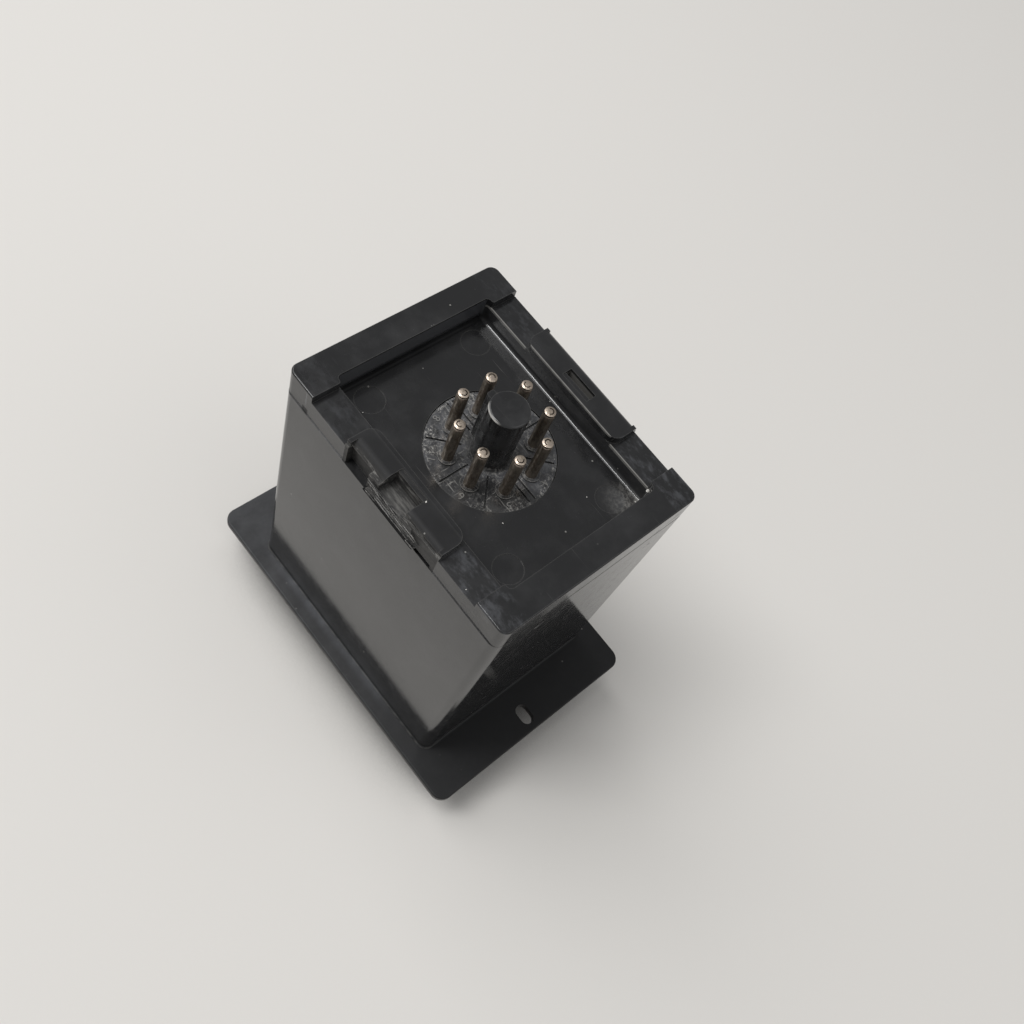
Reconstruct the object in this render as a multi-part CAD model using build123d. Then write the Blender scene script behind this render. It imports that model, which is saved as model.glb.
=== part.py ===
from build123d import *
import os
from math import asin, atan2, cos, degrees, radians, sin

# A plug-in timer relay for a panel: a case with a flange, a rear cap with an eight-pin keyed plug,
# and a time-setting knob on the front.
# Millimetres. The origin is the centre of the flange's back face, the face that meets the panel.
# +Z runs out along the plug's pins, and +X along the case's long side, away from the key.

# Case and flange
case_length = 62.3
case_width = 49.6
case_depth = 67.9
case_wall = 2.0
case_draft = 0.1
case_corner_radius = 2.2
flange_reach_x = 11.55
flange_reach_y = 4.35
flange_thickness = 1.9
flange_corner_radius = 3.0
flange_edge_radius = 0.4
foot_bevel = 0.4
slot_inset = 4.2
slot_length = 5.0
slot_width = 3.2

# Rear cap
cap_set_back_x = 0.15
cap_set_back_y = 0.3
cap_height = 6.6
cap_corner_radius = 1.8
cap_edge_radius = 0.35
rim_band = 6.0
side_ledge = 6.3
ledge_drop = 1.8
ledge_flat = 0.05
recess_depth = 6.0
recess_corner_radius = 1.0
recess_foot_radius = 0.8
step_radius = 0.45
cap_floor = 2.2
lip_depth = 5.0
lip_wall = 1.6
lip_clearance = 0.1
ejector_mark_diameter = 6.0
ejector_mark_depth = 0.12
ejector_mark_inset_x = 4.4
ejector_mark_inset_y = 5.2

# Catches that hold the cap in the case
catch_width = 8.0
catch_height = 1.2
catch_reach = 0.45
catch_spacing = 24.0
catch_depth = 2.6
catch_clearance = 0.1

# Raised clip seats on the cap's two long edges
seat_length = 26.8
seat_corner_radius = 2.4
seat_round_radius = 1.8
seat_round_inset = 1.7
seat_ear_width = 0.9
seat_ear_inset = 0.4
seat_ear_drop = 1.2
clip_slot_length = 7.2
clip_slot_width = 1.5
clip_slot_depth = 3.4
clip_slot_edge = 2.6
clip_step_width = 0.9
clip_step_depth = 0.15

# The seat on the -Y edge is broken open
break_window_depth = 3.0
break_end_wall = 0.9
worn_round_radius = 2.2
worn_round_inset = 2.8
worn_edge_inset = 0.9
hollow_length = 6.2
hollow_width = 1.6
hollow_height = 5.1
gap_height = 0.9
gap_depth = 1.1
gap_end_wall = 1.1
torn_lip_reach = 1.1
torn_lip_wall = 0.5
torn_lip_length = 14.9
torn_lip_top = 5.0
torn_lip_bottom = 0.9

# Plug base: a disc with the keyed spigot and eight pin collars
plug_diameter = 26.0
plug_clearance = 0.1
plug_sink = 0.3
plug_rim_width = 1.3
plug_rim_thickness = 1.1
sector_groove_width = 0.4
sector_groove_depth = 0.35
sector_groove_start = 5.6
sector_groove_margin = 0.5
twin_groove_spacing = 1.3
collar_diameter = 3.7
collar_height = 0.45
spigot_diameter = 7.9
spigot_height = 14.8
spigot_edge_radius = 0.5
key_width = 1.7
key_reach = 1.3
key_drop = 1.3

# Contact pins
pin_count = 8
pin_circle = 17.45
pin_diameter = 2.36
pin_length = 11.7
pin_wall = 0.4
pin_bore_depth = 5.0
pin_tail = 3.6
pin_tip_round = 0.75
pin_tip_dimple = 0.2
pin_stop_diameter = 3.3
pin_stop_thickness = 0.5
pin_clearance = 0.02

# Front panel and dial plate
panel_border_x = 1.15
panel_border_y = 1.2
panel_thickness = 1.4
panel_corner_radius = 1.6
panel_clearance = 0.1
panel_rim_depth = 3.2
panel_rim_wall = 1.4
dial_plate_border_x = 3.5
dial_plate_border_y = 3.6
dial_plate_thickness = 0.5
dial_plate_corner_radius = 2.0
dial_plate_clearance = 0.1
post_inset_x = 3.7
post_inset_y = 2.7
post_diameter = 4.6
post_pilot_diameter = 1.8
post_pilot_depth = 5.0

# Setting knob
knob_diameter = 30.0
knob_top_diameter = 25.6
knob_height = 10.4
knob_gap = 0.7
knob_wall = 1.8
knob_skirt_height = 2.4
knob_edge_radius = 0.8
knob_flute_count = 20
knob_flute_radius = 1.3
knob_flute_bite = 0.45
knob_hollow_depth = 4.4
knob_hollow_radius = 6.6
knob_bore_floor = 1.0
knob_bore_clearance = 0.05
knob_cap_diameter = 19.0
knob_cap_thickness = 0.8
knob_cap_clearance = 0.1
knob_cap_sink = 0.2
pointer_width = 1.6
pointer_length = 6.5
pointer_depth = 0.4
rest_angle = -135.0

# Potentiometer
pot_diameter = 16.6
pot_depth = 8.0
pot_wall = 0.7
bush_diameter = 7.0
bush_length = 4.2
bush_clearance = 0.1
shaft_diameter = 6.0
shaft_clearance = 0.05
shaft_flat = 0.8
shaft_end_gap = 0.3
nut_across_flats = 10.0
nut_thickness = 1.9
washer_diameter = 11.4
washer_thickness = 0.5
wiper_diameter = 12.0
wiper_thickness = 1.2
wiper_gap = 0.3
wiper_arm_width = 1.6
track_thickness = 1.6
track_inner_diameter = 7.0
terminal_width = 1.2
terminal_thickness = 0.5
terminal_pitch = 5.0

# Indicator lamps
lamp_inset_x = 9.0
lamp_inset_y = 12.6
lens_diameter = 4.4
lens_rim_diameter = 5.8
lens_rim_thickness = 0.8
lens_dome = 0.9
lens_clearance = 0.1
led_diameter = 3.0
led_length = 4.4
led_rim_diameter = 3.8
led_rim_thickness = 0.9
led_gap = 0.3
led_lead_pitch = 2.54

# Circuit boards
board_thickness = 1.6
front_board_room_x = 2.95
front_board_room_y = 2.8
front_board_gap = 1.5
board_corner_radius = 1.0
screw_head_diameter = 3.8
screw_head_height = 1.2
screw_diameter = 1.7
screw_length = 5.6
screw_clearance = 0.1
main_board_offset = 13.2
main_board_foot_gap = 0.4
main_board_top = 62.0
main_board_edge_gap = 0.7
rib_reach = 2.2
rib_width = 1.2
rib_clearance = 0.15
rib_foot = 11.6
link_length = 20.0
link_size = 2.4
link_pin_count = 6
link_pin_width = 0.6

# Parts on the main board
lead_size = 0.6
lead_clearance = 0.1
lead_tail = 1.0
transformer_length = 30.0
transformer_height = 25.0
transformer_stack = 13.0
transformer_leg = 9.0
transformer_window = 5.6
transformer_yoke = 4.8
transformer_x = -11.5
transformer_z = 26.3
coil_build = 4.4
coil_clearance = 0.1
coil_foot = 0.8
relay_length = 29.0
relay_width = 12.7
relay_height = 24.5
relay_edge_radius = 0.6
relay_x = -11.5
relay_z = 46.0
relay_pitch = 7.6
smoothing_diameter = 10.0
smoothing_height = 16.0
smoothing_groove = 0.5
smoothing_x = 11.5
smoothing_z = 46.5
film_length = 13.0
film_width = 6.0
film_height = 11.0
film_x = 21.5
film_z = 45.5
chip_length = 9.6
chip_width = 6.4
chip_height = 3.4
chip_stand = 0.4
chip_pitch = 2.54
chip_row = 7.62
chip_x = 15.0
chip_z = 32.5
rectifier_diameter = 9.0
rectifier_height = 5.4
rectifier_pitch = 5.0
rectifier_x = 11.0
rectifier_z = 20.0
transistor_diameter = 4.8
transistor_flat = 1.2
transistor_height = 4.8
transistor_stand = 2.0
transistor_x = 23.5
transistor_z = 33.0
varistor_diameter = 9.0
varistor_thickness = 3.8
varistor_stand = 1.4
varistor_x = 21.5
varistor_z = 20.0

# Lead wires from the pins to the main board
wire_diameter = 1.3
wire_bend_radius = 1.6
wire_level_step = 1.7
wire_first_drop = 1.5
wire_pad_pitch = 4.4

# Places that follow from the sizes above
flange_length = case_length + 2 * flange_reach_x
flange_width = case_width + 2 * flange_reach_y
slot_x = flange_length / 2 - slot_inset
seam = case_depth
cap_length = case_length - 2 * cap_set_back_x
cap_width = case_width - 2 * cap_set_back_y
cap_top = seam + cap_height
ledge_level = cap_top - ledge_drop
floor_level = cap_top - recess_depth
cap_underside = floor_level - cap_floor
disc_level = floor_level - plug_sink
recess_length = cap_length - 2 * rim_band
recess_width = cap_width - 2 * side_ledge
ledge_inset = recess_corner_radius + step_radius + ledge_flat
cavity_length = case_length - 2 * case_wall
cavity_width = case_width - 2 * case_wall
panel_length = case_length - 2 * panel_border_x
panel_width = case_width - 2 * panel_border_y
dial_plate_length = panel_length - 2 * dial_plate_border_x
dial_plate_width = panel_width - 2 * dial_plate_border_y
front_board_length = cavity_length - 2 * front_board_room_x
front_board_width = cavity_width - 2 * front_board_room_y
post_x = front_board_length / 2 - post_inset_x
post_y = front_board_width / 2 - post_inset_y
lamp_x = panel_length / 2 - lamp_inset_x
lamp_y = panel_width / 2 - lamp_inset_y
lip_length = cavity_length - 2 * lip_clearance
lip_width = cavity_width - 2 * lip_clearance
cap_edge = cap_width / 2
front_face = -flange_thickness
panel_back = front_face + panel_thickness
dial_back = front_face + dial_plate_thickness
pot_back = panel_back + pot_depth
front_board_face = pot_back + front_board_gap
front_board_back = front_board_face + board_thickness
main_board_face = -main_board_offset
main_board_back = main_board_face - board_thickness
main_board_foot = front_board_back + screw_head_height + main_board_foot_gap
main_board_half = cavity_length / 2 - main_board_edge_gap
bush_front = panel_back - panel_thickness - bush_length
washer_front = front_face - washer_thickness
nut_front = washer_front - nut_thickness
knob_back = front_face - knob_gap
knob_front = knob_back - knob_height
knob_bore_end = knob_front + knob_cap_sink + knob_cap_thickness + knob_bore_floor
shaft_front = knob_bore_end + shaft_end_gap
plug_underside = cap_underside - plug_rim_thickness
pin_end = plug_underside - pin_tail
pin_tip = disc_level + pin_length


def block(x0, x1, y0, y1, z0, z1):
    """A box between two corners."""
    size = Box(x1 - x0, y1 - y0, z1 - z0)
    return Pos((x0 + x1) / 2, (y0 + y1) / 2, (z0 + z1) / 2) * size


def disc(diameter, z0, z1, x=0.0, y=0.0):
    """A round bar along Z."""
    return Pos(x, y, (z0 + z1) / 2) * Cylinder(diameter / 2, z1 - z0)


def stud(diameter, y0, y1, x, z):
    """A round bar along Y."""
    return Pos(x, (y0 + y1) / 2, z) * Rot(90, 0, 0) * Cylinder(diameter / 2, y1 - y0)


def plate(length, width, radius, z0, z1):
    """A flat plate with rounded corners."""
    return Pos(0, 0, z0) * extrude(RectangleRounded(length, width, radius), amount=z1 - z0)


def pin_angle(index):
    """The angle of a pin on its circle: pin 1 is clockwise next to the key, seen from the plug."""
    step = 360 / pin_count
    return 180 - step * (index - 0.5)


def pin_place(index):
    """The centre of a pin on its circle."""
    turn = radians(pin_angle(index))
    return pin_circle / 2 * cos(turn), pin_circle / 2 * sin(turn)


def board_rows(x, z, pitch_x, pitch_z, count_x=2, count_z=2):
    """Hole places on the main board: rows of leads around a part's centre."""
    return [
        (x + (i - (count_x - 1) / 2) * pitch_x, z + (k - (count_z - 1) / 2) * pitch_z)
        for i in range(count_x)
        for k in range(count_z)
    ]


# Lead places on the main board, shared by the parts and by the board's holes
transformer_leads = board_rows(transformer_x, transformer_z, 2 * coil_build + transformer_leg - 2,
                               transformer_height - 2 * transformer_yoke - 3)
relay_leads = board_rows(relay_x, relay_z, relay_pitch, relay_pitch, 4, 2)
smoothing_leads = board_rows(smoothing_x, smoothing_z, smoothing_diameter / 2, 0, 2, 1)
film_leads = board_rows(film_x, film_z, 0, film_length - 3, 1, 2)
chip_leads = board_rows(chip_x, chip_z, chip_pitch, chip_row, 4, 2)
rectifier_leads = board_rows(rectifier_x, rectifier_z, rectifier_pitch, rectifier_pitch)
transistor_leads = board_rows(transistor_x, transistor_z, transistor_diameter / 3, 0, 3, 1)
varistor_leads = board_rows(varistor_x, varistor_z, varistor_diameter - 3, 0, 2, 1)
main_board_leads = (transformer_leads + relay_leads + smoothing_leads + film_leads + chip_leads
                    + rectifier_leads + transistor_leads + varistor_leads)


def leads(places, start):
    """Square leads from a part through the main board."""
    half = lead_size / 2
    end = main_board_back - lead_tail
    return [block(x - half, x + half, end, start, z - half, z + half) for x, z in places]


def dome_arc(radius, edge, height):
    """Half section of a round dome, from its edge to its tip on the axis, towards -Z."""
    bend = (radius ** 2 + height ** 2) / (2 * height)
    middle = edge - height + bend
    half_turn = atan2(radius, middle - edge) / 2
    return ThreePointArc((radius, edge),
                         (bend * sin(half_turn), middle - bend * cos(half_turn)),
                         (0, edge - height))


def post_places():
    """The four posts that carry the front board."""
    return [(sx * post_x, sy * post_y) for sx in (-1, 1) for sy in (-1, 1)]


def lamp_places():
    """The two lamps, side by side at the end away from the key."""
    return [(lamp_x, -lamp_y), (lamp_x, lamp_y)]


def board_slot_ribs(side):
    """Two ribs on one end wall of the case, with the main board between them."""
    outer = side * cavity_length / 2
    inner = outer - side * rib_reach
    low_x, high_x = sorted((outer + side * case_wall / 2, inner))
    top = seam - lip_depth - rib_clearance
    near = main_board_face + rib_clearance
    far = main_board_back - rib_clearance
    front = block(low_x, high_x, near, near + rib_width, rib_foot, top)
    back = block(low_x, high_x, far - rib_width, far, rib_foot, top)
    return front + back


def catch_pockets():
    """Pockets in the case's end walls for the cap's catches."""
    level = seam - catch_depth
    length = catch_width + 2 * catch_clearance
    height = catch_height + 2 * catch_clearance
    reach = catch_reach + catch_clearance
    pockets = []
    for side in (-1, 1):
        wall = side * cavity_length / 2
        low_x, high_x = sorted((wall - side * case_wall / 4, wall + side * reach))
        for row in (-1, 1):
            y = row * catch_spacing / 2
            pockets.append(block(low_x, high_x, y - length / 2, y + length / 2,
                                 level - height / 2, level + height / 2))
    return pockets


def case():
    """Housing and flange, one moulding, open at both ends."""
    outline = RectangleRounded(case_length, case_width, case_corner_radius)
    shell = extrude(outline, amount=case_depth, taper=case_draft)
    flange = plate(flange_length, flange_width, flange_corner_radius, front_face, 0)
    rim = flange.edges().group_by(Axis.Z)
    flange = fillet(rim[0] + rim[-1], flange_edge_radius)
    foot = extrude(RectangleRounded(case_length + 2 * foot_bevel, case_width + 2 * foot_bevel,
                                    case_corner_radius + foot_bevel), amount=foot_bevel, taper=45)
    body = flange + shell + foot
    inner_radius = case_corner_radius - case_wall / 2
    body -= plate(cavity_length, cavity_width, inner_radius, front_face - 1, seam + 1)
    body -= plate(panel_length + 2 * panel_clearance, panel_width + 2 * panel_clearance,
                  panel_corner_radius + panel_clearance, front_face - 1, panel_back)
    body += [board_slot_ribs(side) for side in (-1, 1)]
    body -= catch_pockets()
    slot = extrude(SlotOverall(slot_length, slot_width), amount=flange_thickness + 2)
    body -= [Pos(side * slot_x, 0, front_face - 1) * slot for side in (-1, 1)]
    return body


def catch_barbs():
    """Wedge catches on the cap's lip: flat above, sloped below."""
    level = seam - catch_depth
    top = level + catch_height / 2
    low = level - catch_height / 2
    barbs = []
    for side in (-1, 1):
        wall = side * lip_length / 2
        inner = wall - side * lip_wall / 2
        outer = wall + side * catch_reach
        wedge = Polyline((inner, top), (outer, top), (wall, low), (inner, low), close=True)
        prism = extrude(make_face(Plane.XZ * wedge), amount=catch_width / 2, both=True)
        barbs += [Pos(0, row * catch_spacing / 2, 0) * prism for row in (-1, 1)]
    return barbs


def outside_round(radius, inset, stop_inset):
    """Section of what rounding a seat's outer edge takes off. The round starts level with the cap's top
    at one distance in from the cap's edge, and stops at another."""
    start = cap_edge - inset
    stop = cap_edge - stop_inset
    turn = asin((stop - start) / radius)
    low = cap_top - radius * (1 - cos(turn))
    middle = (start + radius * sin(turn / 2), cap_top - radius * (1 - cos(turn / 2)))
    outline = ThreePointArc((start, cap_top), middle, (stop, low))
    outline += Polyline((stop, low), (cap_edge + 1, low), (cap_edge + 1, cap_top + 1),
                        (start, cap_top + 1), (start, cap_top))
    return make_face(Plane.YZ * outline)


def clip_seat(side):
    """A raised seat on a long edge: rounded outside between two ears, rounded corners inside."""
    inner = recess_width / 2
    depth = cap_edge - inner
    plan = Pos(0, inner + depth / 2) * Rectangle(seat_length, depth)
    corners = plan.vertices().group_by(Axis.Y)[0]
    plan = fillet(corners, seat_corner_radius)
    form = Pos(0, 0, ledge_level - ledge_drop) * extrude(plan, amount=2 * ledge_drop)
    span = seat_length / 2 - seat_ear_width
    form -= extrude(outside_round(seat_round_radius, seat_round_inset, 0), amount=span, both=True)
    form -= block(-seat_length, seat_length, cap_edge - seat_ear_inset, cap_edge + 1,
                  cap_top - seat_ear_drop, cap_top + 1)
    return form if side > 0 else mirror(form, Plane.XZ)


def clip_slot(side):
    """A seat's slot for the clip, with a shallow step on its inner side."""
    outer = cap_edge - clip_slot_edge
    inner = outer - clip_slot_width
    half = clip_slot_length / 2
    slot = block(-half, half, inner, outer, cap_top - clip_slot_depth, cap_top + 1)
    slot += block(-half, half, inner - clip_step_width, inner + 0.1,
                  cap_top - clip_step_depth, cap_top + 1)
    return slot if side > 0 else mirror(slot, Plane.XZ)


def break_cuts():
    """What is broken out of the -Y seat: its slot's outer wall, a worn edge with a hollow under it,
    and a gap under the torn lip."""
    out = -cap_edge
    half = clip_slot_length / 2
    start = -seat_length / 2 + break_end_wall
    window = block(-half, half, out - 1, out + clip_slot_edge + 0.1,
                   cap_top - break_window_depth, cap_top + 1)
    worn = extrude(outside_round(worn_round_radius, worn_round_inset, worn_edge_inset),
                   amount=-half - start)
    worn = mirror(Pos(start, 0, 0) * worn, Plane.XZ)
    opening = block(start, start + hollow_length, out - 1, out + worn_edge_inset,
                    seam - 1, cap_top + 1)
    hollow = block(start, start + hollow_length, out, out + hollow_width,
                   seam - 1, seam + hollow_height)
    gap = block(start, seat_length / 2 - gap_end_wall, out - 1, out + gap_depth,
                seam - 1, seam + gap_height)
    return [window, worn, opening, hollow, gap]


def torn_lip():
    """The strip of skin that is still attached under the broken seat, bent outwards."""
    out = -cap_edge
    start = -seat_length / 2 + break_end_wall + hollow_length
    top = seam + torn_lip_top
    low = seam + torn_lip_bottom
    section = Polyline((out + 0.4, top), (out - 0.1, top), (out - torn_lip_reach, low + 0.4),
                       (out - torn_lip_reach + torn_lip_wall, low), (out + 0.4, low + 0.3),
                       close=True)
    strip = extrude(make_face(Plane.YZ * section), amount=torn_lip_length)
    strip = Pos(start, 0, 0) * strip
    ragged = ((0.07, 2.3), (0.23, 1.5), (0.34, 1.7), (0.55, 0.6), (0.74, 0), (0.83, 0.5),
              (0.89, 2.0), (1, 2.6))
    points = [(start + share * torn_lip_length, top - drop) for share, drop in ragged]
    edge = Polyline(*points, (start + 0.97 * torn_lip_length, low + 0.5),
                    (start + 0.8 * torn_lip_length, low), (start, low), close=True)
    outline = extrude(make_face(Plane.XZ * edge), amount=cap_width, both=True)
    return strip & outline


def is_recess_corner(vertex):
    """True at the four corners of the recess."""
    return abs(abs(vertex.X) - recess_length / 2) < 0.01 and abs(vertex.Y) > recess_width / 2 - 0.01


def rear_cap():
    """Rear cap: rim bands at the ends, lower side ledges, a recess for the plug, two clip seats."""
    body = plate(cap_length, cap_width, cap_corner_radius, seam, cap_top)
    body = fillet(body.edges().group_by(Axis.Z)[-1], cap_edge_radius)
    lip_radius = case_corner_radius - case_wall / 2
    body += plate(lip_length, lip_width, lip_radius, seam - lip_depth, seam)
    body -= plate(lip_length - 2 * lip_wall, lip_width - 2 * lip_wall, lip_radius,
                  seam - lip_depth - 1, cap_underside)
    body += catch_barbs()
    low_plan = Rectangle(recess_length, recess_width)
    low_plan += Rectangle(recess_length - 2 * ledge_inset, cap_width + 2)
    inside = low_plan.vertices().filter_by(lambda v: abs(v.Y) < cap_edge).sort_by(lambda v: abs(v.X))
    low_plan = fillet(inside[:4], step_radius)
    low_plan = fillet(low_plan.vertices().filter_by(is_recess_corner), recess_corner_radius)
    body -= Pos(0, 0, ledge_level) * extrude(low_plan, amount=ledge_drop + 1)
    seats = clip_seat(1) + clip_seat(-1)
    body += seats
    well = plate(recess_length, recess_width, recess_corner_radius, floor_level, cap_top + 1)
    well = fillet(well.edges().group_by(Axis.Z)[0], recess_foot_radius)
    body -= well
    body -= disc(plug_diameter + 2 * plug_clearance, cap_underside - 1, cap_top)
    mark_x = recess_length / 2 - ejector_mark_inset_x
    mark_y = recess_width / 2 - ejector_mark_inset_y
    body -= [disc(ejector_mark_diameter, floor_level - ejector_mark_depth, floor_level + 1,
                  sx * mark_x, sy * mark_y) for sx in (-1, 1) for sy in (-1, 1)]
    body -= [clip_slot(side) for side in (-1, 1)]
    body -= break_cuts()
    return body + torn_lip()


def sector_grooves():
    """Radial grooves between the pins: single ones, and twin ones in line with the key."""
    end = plug_diameter / 2 - sector_groove_margin
    low = disc_level - sector_groove_depth
    cut = block(sector_groove_start, end, -sector_groove_width / 2, sector_groove_width / 2,
                low, disc_level + 1)
    grooves = []
    for index in range(pin_count):
        turn = Rot(0, 0, index * 360 / pin_count)
        in_line = index % (pin_count // 2) == 0
        shifts = (-twin_groove_spacing / 2, twin_groove_spacing / 2) if in_line else (0.0,)
        grooves += [turn * Pos(0, shift, 0) * cut for shift in shifts]
    return grooves


def plug_base():
    """Round plug base with its spigot, key and pin collars, held behind the cap's floor."""
    body = disc(plug_diameter, cap_underside, disc_level)
    body += disc(plug_diameter + 2 * plug_rim_width, plug_underside, cap_underside)
    body -= sector_grooves()
    spigot = disc(spigot_diameter, disc_level - 0.5, disc_level + spigot_height)
    spigot = fillet(spigot.edges().group_by(Axis.Z)[-1], spigot_edge_radius)
    reach = spigot_diameter / 2 + key_reach
    key = block(-reach, 0, -key_width / 2, key_width / 2, disc_level - 0.5,
                disc_level + spigot_height - key_drop)
    outer_end = key.edges().group_by(Axis.X)[0]
    key = fillet(outer_end.filter_by(Axis.Z), key_width / 4)
    body += spigot + key
    hole = pin_diameter + 2 * pin_clearance
    for index in range(1, pin_count + 1):
        x, y = pin_place(index)
        body += disc(collar_diameter, disc_level - 0.5, disc_level + collar_height, x, y)
        body -= disc(hole, plug_underside - 1, disc_level + collar_height + 1, x, y)
    return body


def contact_pin(index):
    """Pin with an open tail, a stop flange inside and a rounded, soldered tip."""
    radius = pin_diameter / 2
    stop = pin_stop_diameter / 2
    bore = radius - pin_wall
    bore_top = pin_end + pin_bore_depth
    low_stop = plug_underside - pin_stop_thickness
    shoulder = pin_tip - pin_tip_round
    outline = Polyline((bore, pin_end), (radius, pin_end), (radius, low_stop), (stop, low_stop),
                       (stop, plug_underside), (radius, plug_underside), (radius, shoulder))
    tip_side = radius * 0.45
    tip = ThreePointArc((radius, shoulder), (radius * 0.86, pin_tip - pin_tip_round * 0.35),
                        (tip_side, pin_tip))
    dimple = Polyline((tip_side, pin_tip), (0, pin_tip - pin_tip_dimple), (0, bore_top),
                      (bore, bore_top), (bore, pin_end))
    section = make_face(Plane.XZ * (outline + tip + dimple))
    x, y = pin_place(index)
    return Pos(x, y, 0) * revolve(section, Axis.Z)


def front_panel():
    """Moulded front panel in the flange's rebate, with a rim inside and posts for its board."""
    body = plate(panel_length, panel_width, panel_corner_radius, front_face, panel_back)
    rim_length = cavity_length - 2 * panel_clearance
    rim_width = cavity_width - 2 * panel_clearance
    rim_radius = case_corner_radius - case_wall / 2
    rim_back = panel_back + panel_rim_depth
    rim = plate(rim_length, rim_width, rim_radius, panel_back, rim_back)
    rim -= plate(rim_length - 2 * panel_rim_wall, rim_width - 2 * panel_rim_wall, rim_radius,
                 panel_back - 1, rim_back + 1)
    body += rim
    body -= plate(dial_plate_length + 2 * dial_plate_clearance,
                  dial_plate_width + 2 * dial_plate_clearance,
                  dial_plate_corner_radius, front_face - 1, dial_back)
    body -= disc(bush_diameter + 2 * bush_clearance, front_face - 1, panel_back + 1)
    for x, y in lamp_places():
        body -= disc(lens_diameter + 2 * lens_clearance, front_face - 1, panel_back + 1, x, y)
    for x, y in post_places():
        post = disc(post_diameter, panel_back - 0.2, front_board_face, x, y)
        pilot = disc(post_pilot_diameter, front_board_face - post_pilot_depth,
                     front_board_face + 1, x, y)
        body += post - pilot
    return body


def dial_plate():
    """Thin scale plate let into the panel."""
    body = plate(dial_plate_length, dial_plate_width, dial_plate_corner_radius, front_face,
                 dial_back)
    body -= disc(bush_diameter + 2 * bush_clearance, front_face - 1, dial_back + 1)
    for x, y in lamp_places():
        body -= disc(lens_diameter + 2 * lens_clearance, front_face - 1, dial_back + 1, x, y)
    return body


def setting_knob():
    """Fluted knob: a skirt, a tapered grip, a hollow over the nut and a hub with a flat bore."""
    radius = knob_diameter / 2
    top = knob_top_diameter / 2
    grip_back = knob_back - knob_skirt_height
    grip_radius = radius - knob_skirt_height / 2
    profile = Polyline((0, knob_back), (radius, knob_back), (radius, grip_back + 0.6),
                       (radius - 0.6, grip_back), (grip_radius, grip_back), (top, knob_front),
                       (0, knob_front), close=True)
    body = revolve(make_face(Plane.XZ * profile), Axis.Z)
    front_edge = body.edges().group_by(Axis.Z)[0]
    body = fillet(front_edge, knob_edge_radius)
    lean = degrees(atan2(grip_radius - top, grip_back - knob_front))
    for index in range(knob_flute_count):
        flute = Pos(0, 0, knob_front - 1) * Cylinder(
            knob_flute_radius, grip_back - knob_front + 1,
            align=(Align.CENTER, Align.CENTER, Align.MIN))
        place = Pos(top + knob_flute_radius - knob_flute_bite, 0, 0)
        tilt = Pos(0, 0, knob_front) * Rot(0, lean, 0) * Pos(0, 0, -knob_front)
        body -= Rot(0, 0, index * 360 / knob_flute_count) * place * tilt * flute
    ceiling = knob_back - knob_hollow_depth
    body -= disc(2 * knob_hollow_radius, ceiling, knob_back + 1)
    ring = disc(2 * (grip_radius - knob_wall), ceiling, knob_back + 1)
    ring -= disc(2 * (knob_hollow_radius + knob_wall), ceiling - 1, knob_back + 2)
    body -= ring
    bore = disc(shaft_diameter + 2 * knob_bore_clearance, knob_bore_end, ceiling + 1)
    flat = shaft_diameter / 2 - shaft_flat + knob_bore_clearance
    bore -= block(flat, radius, -radius, radius, knob_bore_end - 1, ceiling + 2)
    body -= Rot(0, 0, rest_angle) * bore
    body -= disc(knob_cap_diameter + 2 * knob_cap_clearance, knob_front - 1,
                 knob_front + knob_cap_thickness + knob_cap_sink)
    return body


def knob_cap():
    """Round cap set in the knob's face, with the pointer groove."""
    low = knob_front + knob_cap_sink
    body = disc(knob_cap_diameter, low, low + knob_cap_thickness)
    end = knob_cap_diameter / 2 - 0.6
    groove = block(end - pointer_length, end, -pointer_width / 2, pointer_width / 2,
                   low - 1, low + pointer_depth)
    return body - Rot(0, 0, rest_angle) * groove


def potentiometer_body():
    """Drawn can behind the panel with its threaded bush through it."""
    body = disc(pot_diameter, panel_back, pot_back)
    body -= disc(pot_diameter - 2 * pot_wall, panel_back + pot_wall, pot_back + 1)
    body += disc(bush_diameter, bush_front, panel_back + pot_wall)
    return body - disc(shaft_diameter + 2 * shaft_clearance, bush_front - 1, pot_back + 1)


def terminal_places():
    """The potentiometer's three terminals in a row."""
    edge = pot_diameter / 2 - pot_wall - terminal_thickness - 0.8
    return [((index - 1) * terminal_pitch, edge - abs(index - 1) * 1.6) for index in range(3)]


def potentiometer_track():
    """Resistance track board that closes the can, with its terminals."""
    outer = pot_diameter - 2 * pot_wall - 0.1
    body = disc(outer, pot_back - track_thickness, pot_back)
    body -= disc(track_inner_diameter, pot_back - track_thickness - 1, pot_back + 1)
    for x, y in terminal_places():
        body += block(x - terminal_width / 2, x + terminal_width / 2, y, y + terminal_thickness,
                      pot_back - track_thickness / 2, front_board_back + 0.8)
    return body


def potentiometer_wiper():
    """Wiper carrier on the shaft's end, with its sprung arm reaching for the track."""
    high = pot_back - track_thickness - wiper_gap
    low = high - wiper_thickness
    body = disc(wiper_diameter, low, high)
    arm = block(0, wiper_diameter / 2 - 0.4, -wiper_arm_width / 2, wiper_arm_width / 2,
                high - 0.1, high + wiper_gap / 2)
    body += Rot(0, 0, rest_angle) * arm
    return body - disc(shaft_diameter + 0.04, low - 1, high + 1)


def potentiometer_shaft():
    """Shaft with the knob's flat at its front end."""
    back = pot_back - track_thickness - wiper_gap
    body = disc(shaft_diameter, shaft_front, back)
    flat = shaft_diameter / 2 - shaft_flat
    cut = block(flat, shaft_diameter, -shaft_diameter, shaft_diameter, shaft_front - 1,
                knob_back - knob_hollow_depth + 0.2)
    return body - Rot(0, 0, rest_angle) * cut


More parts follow.
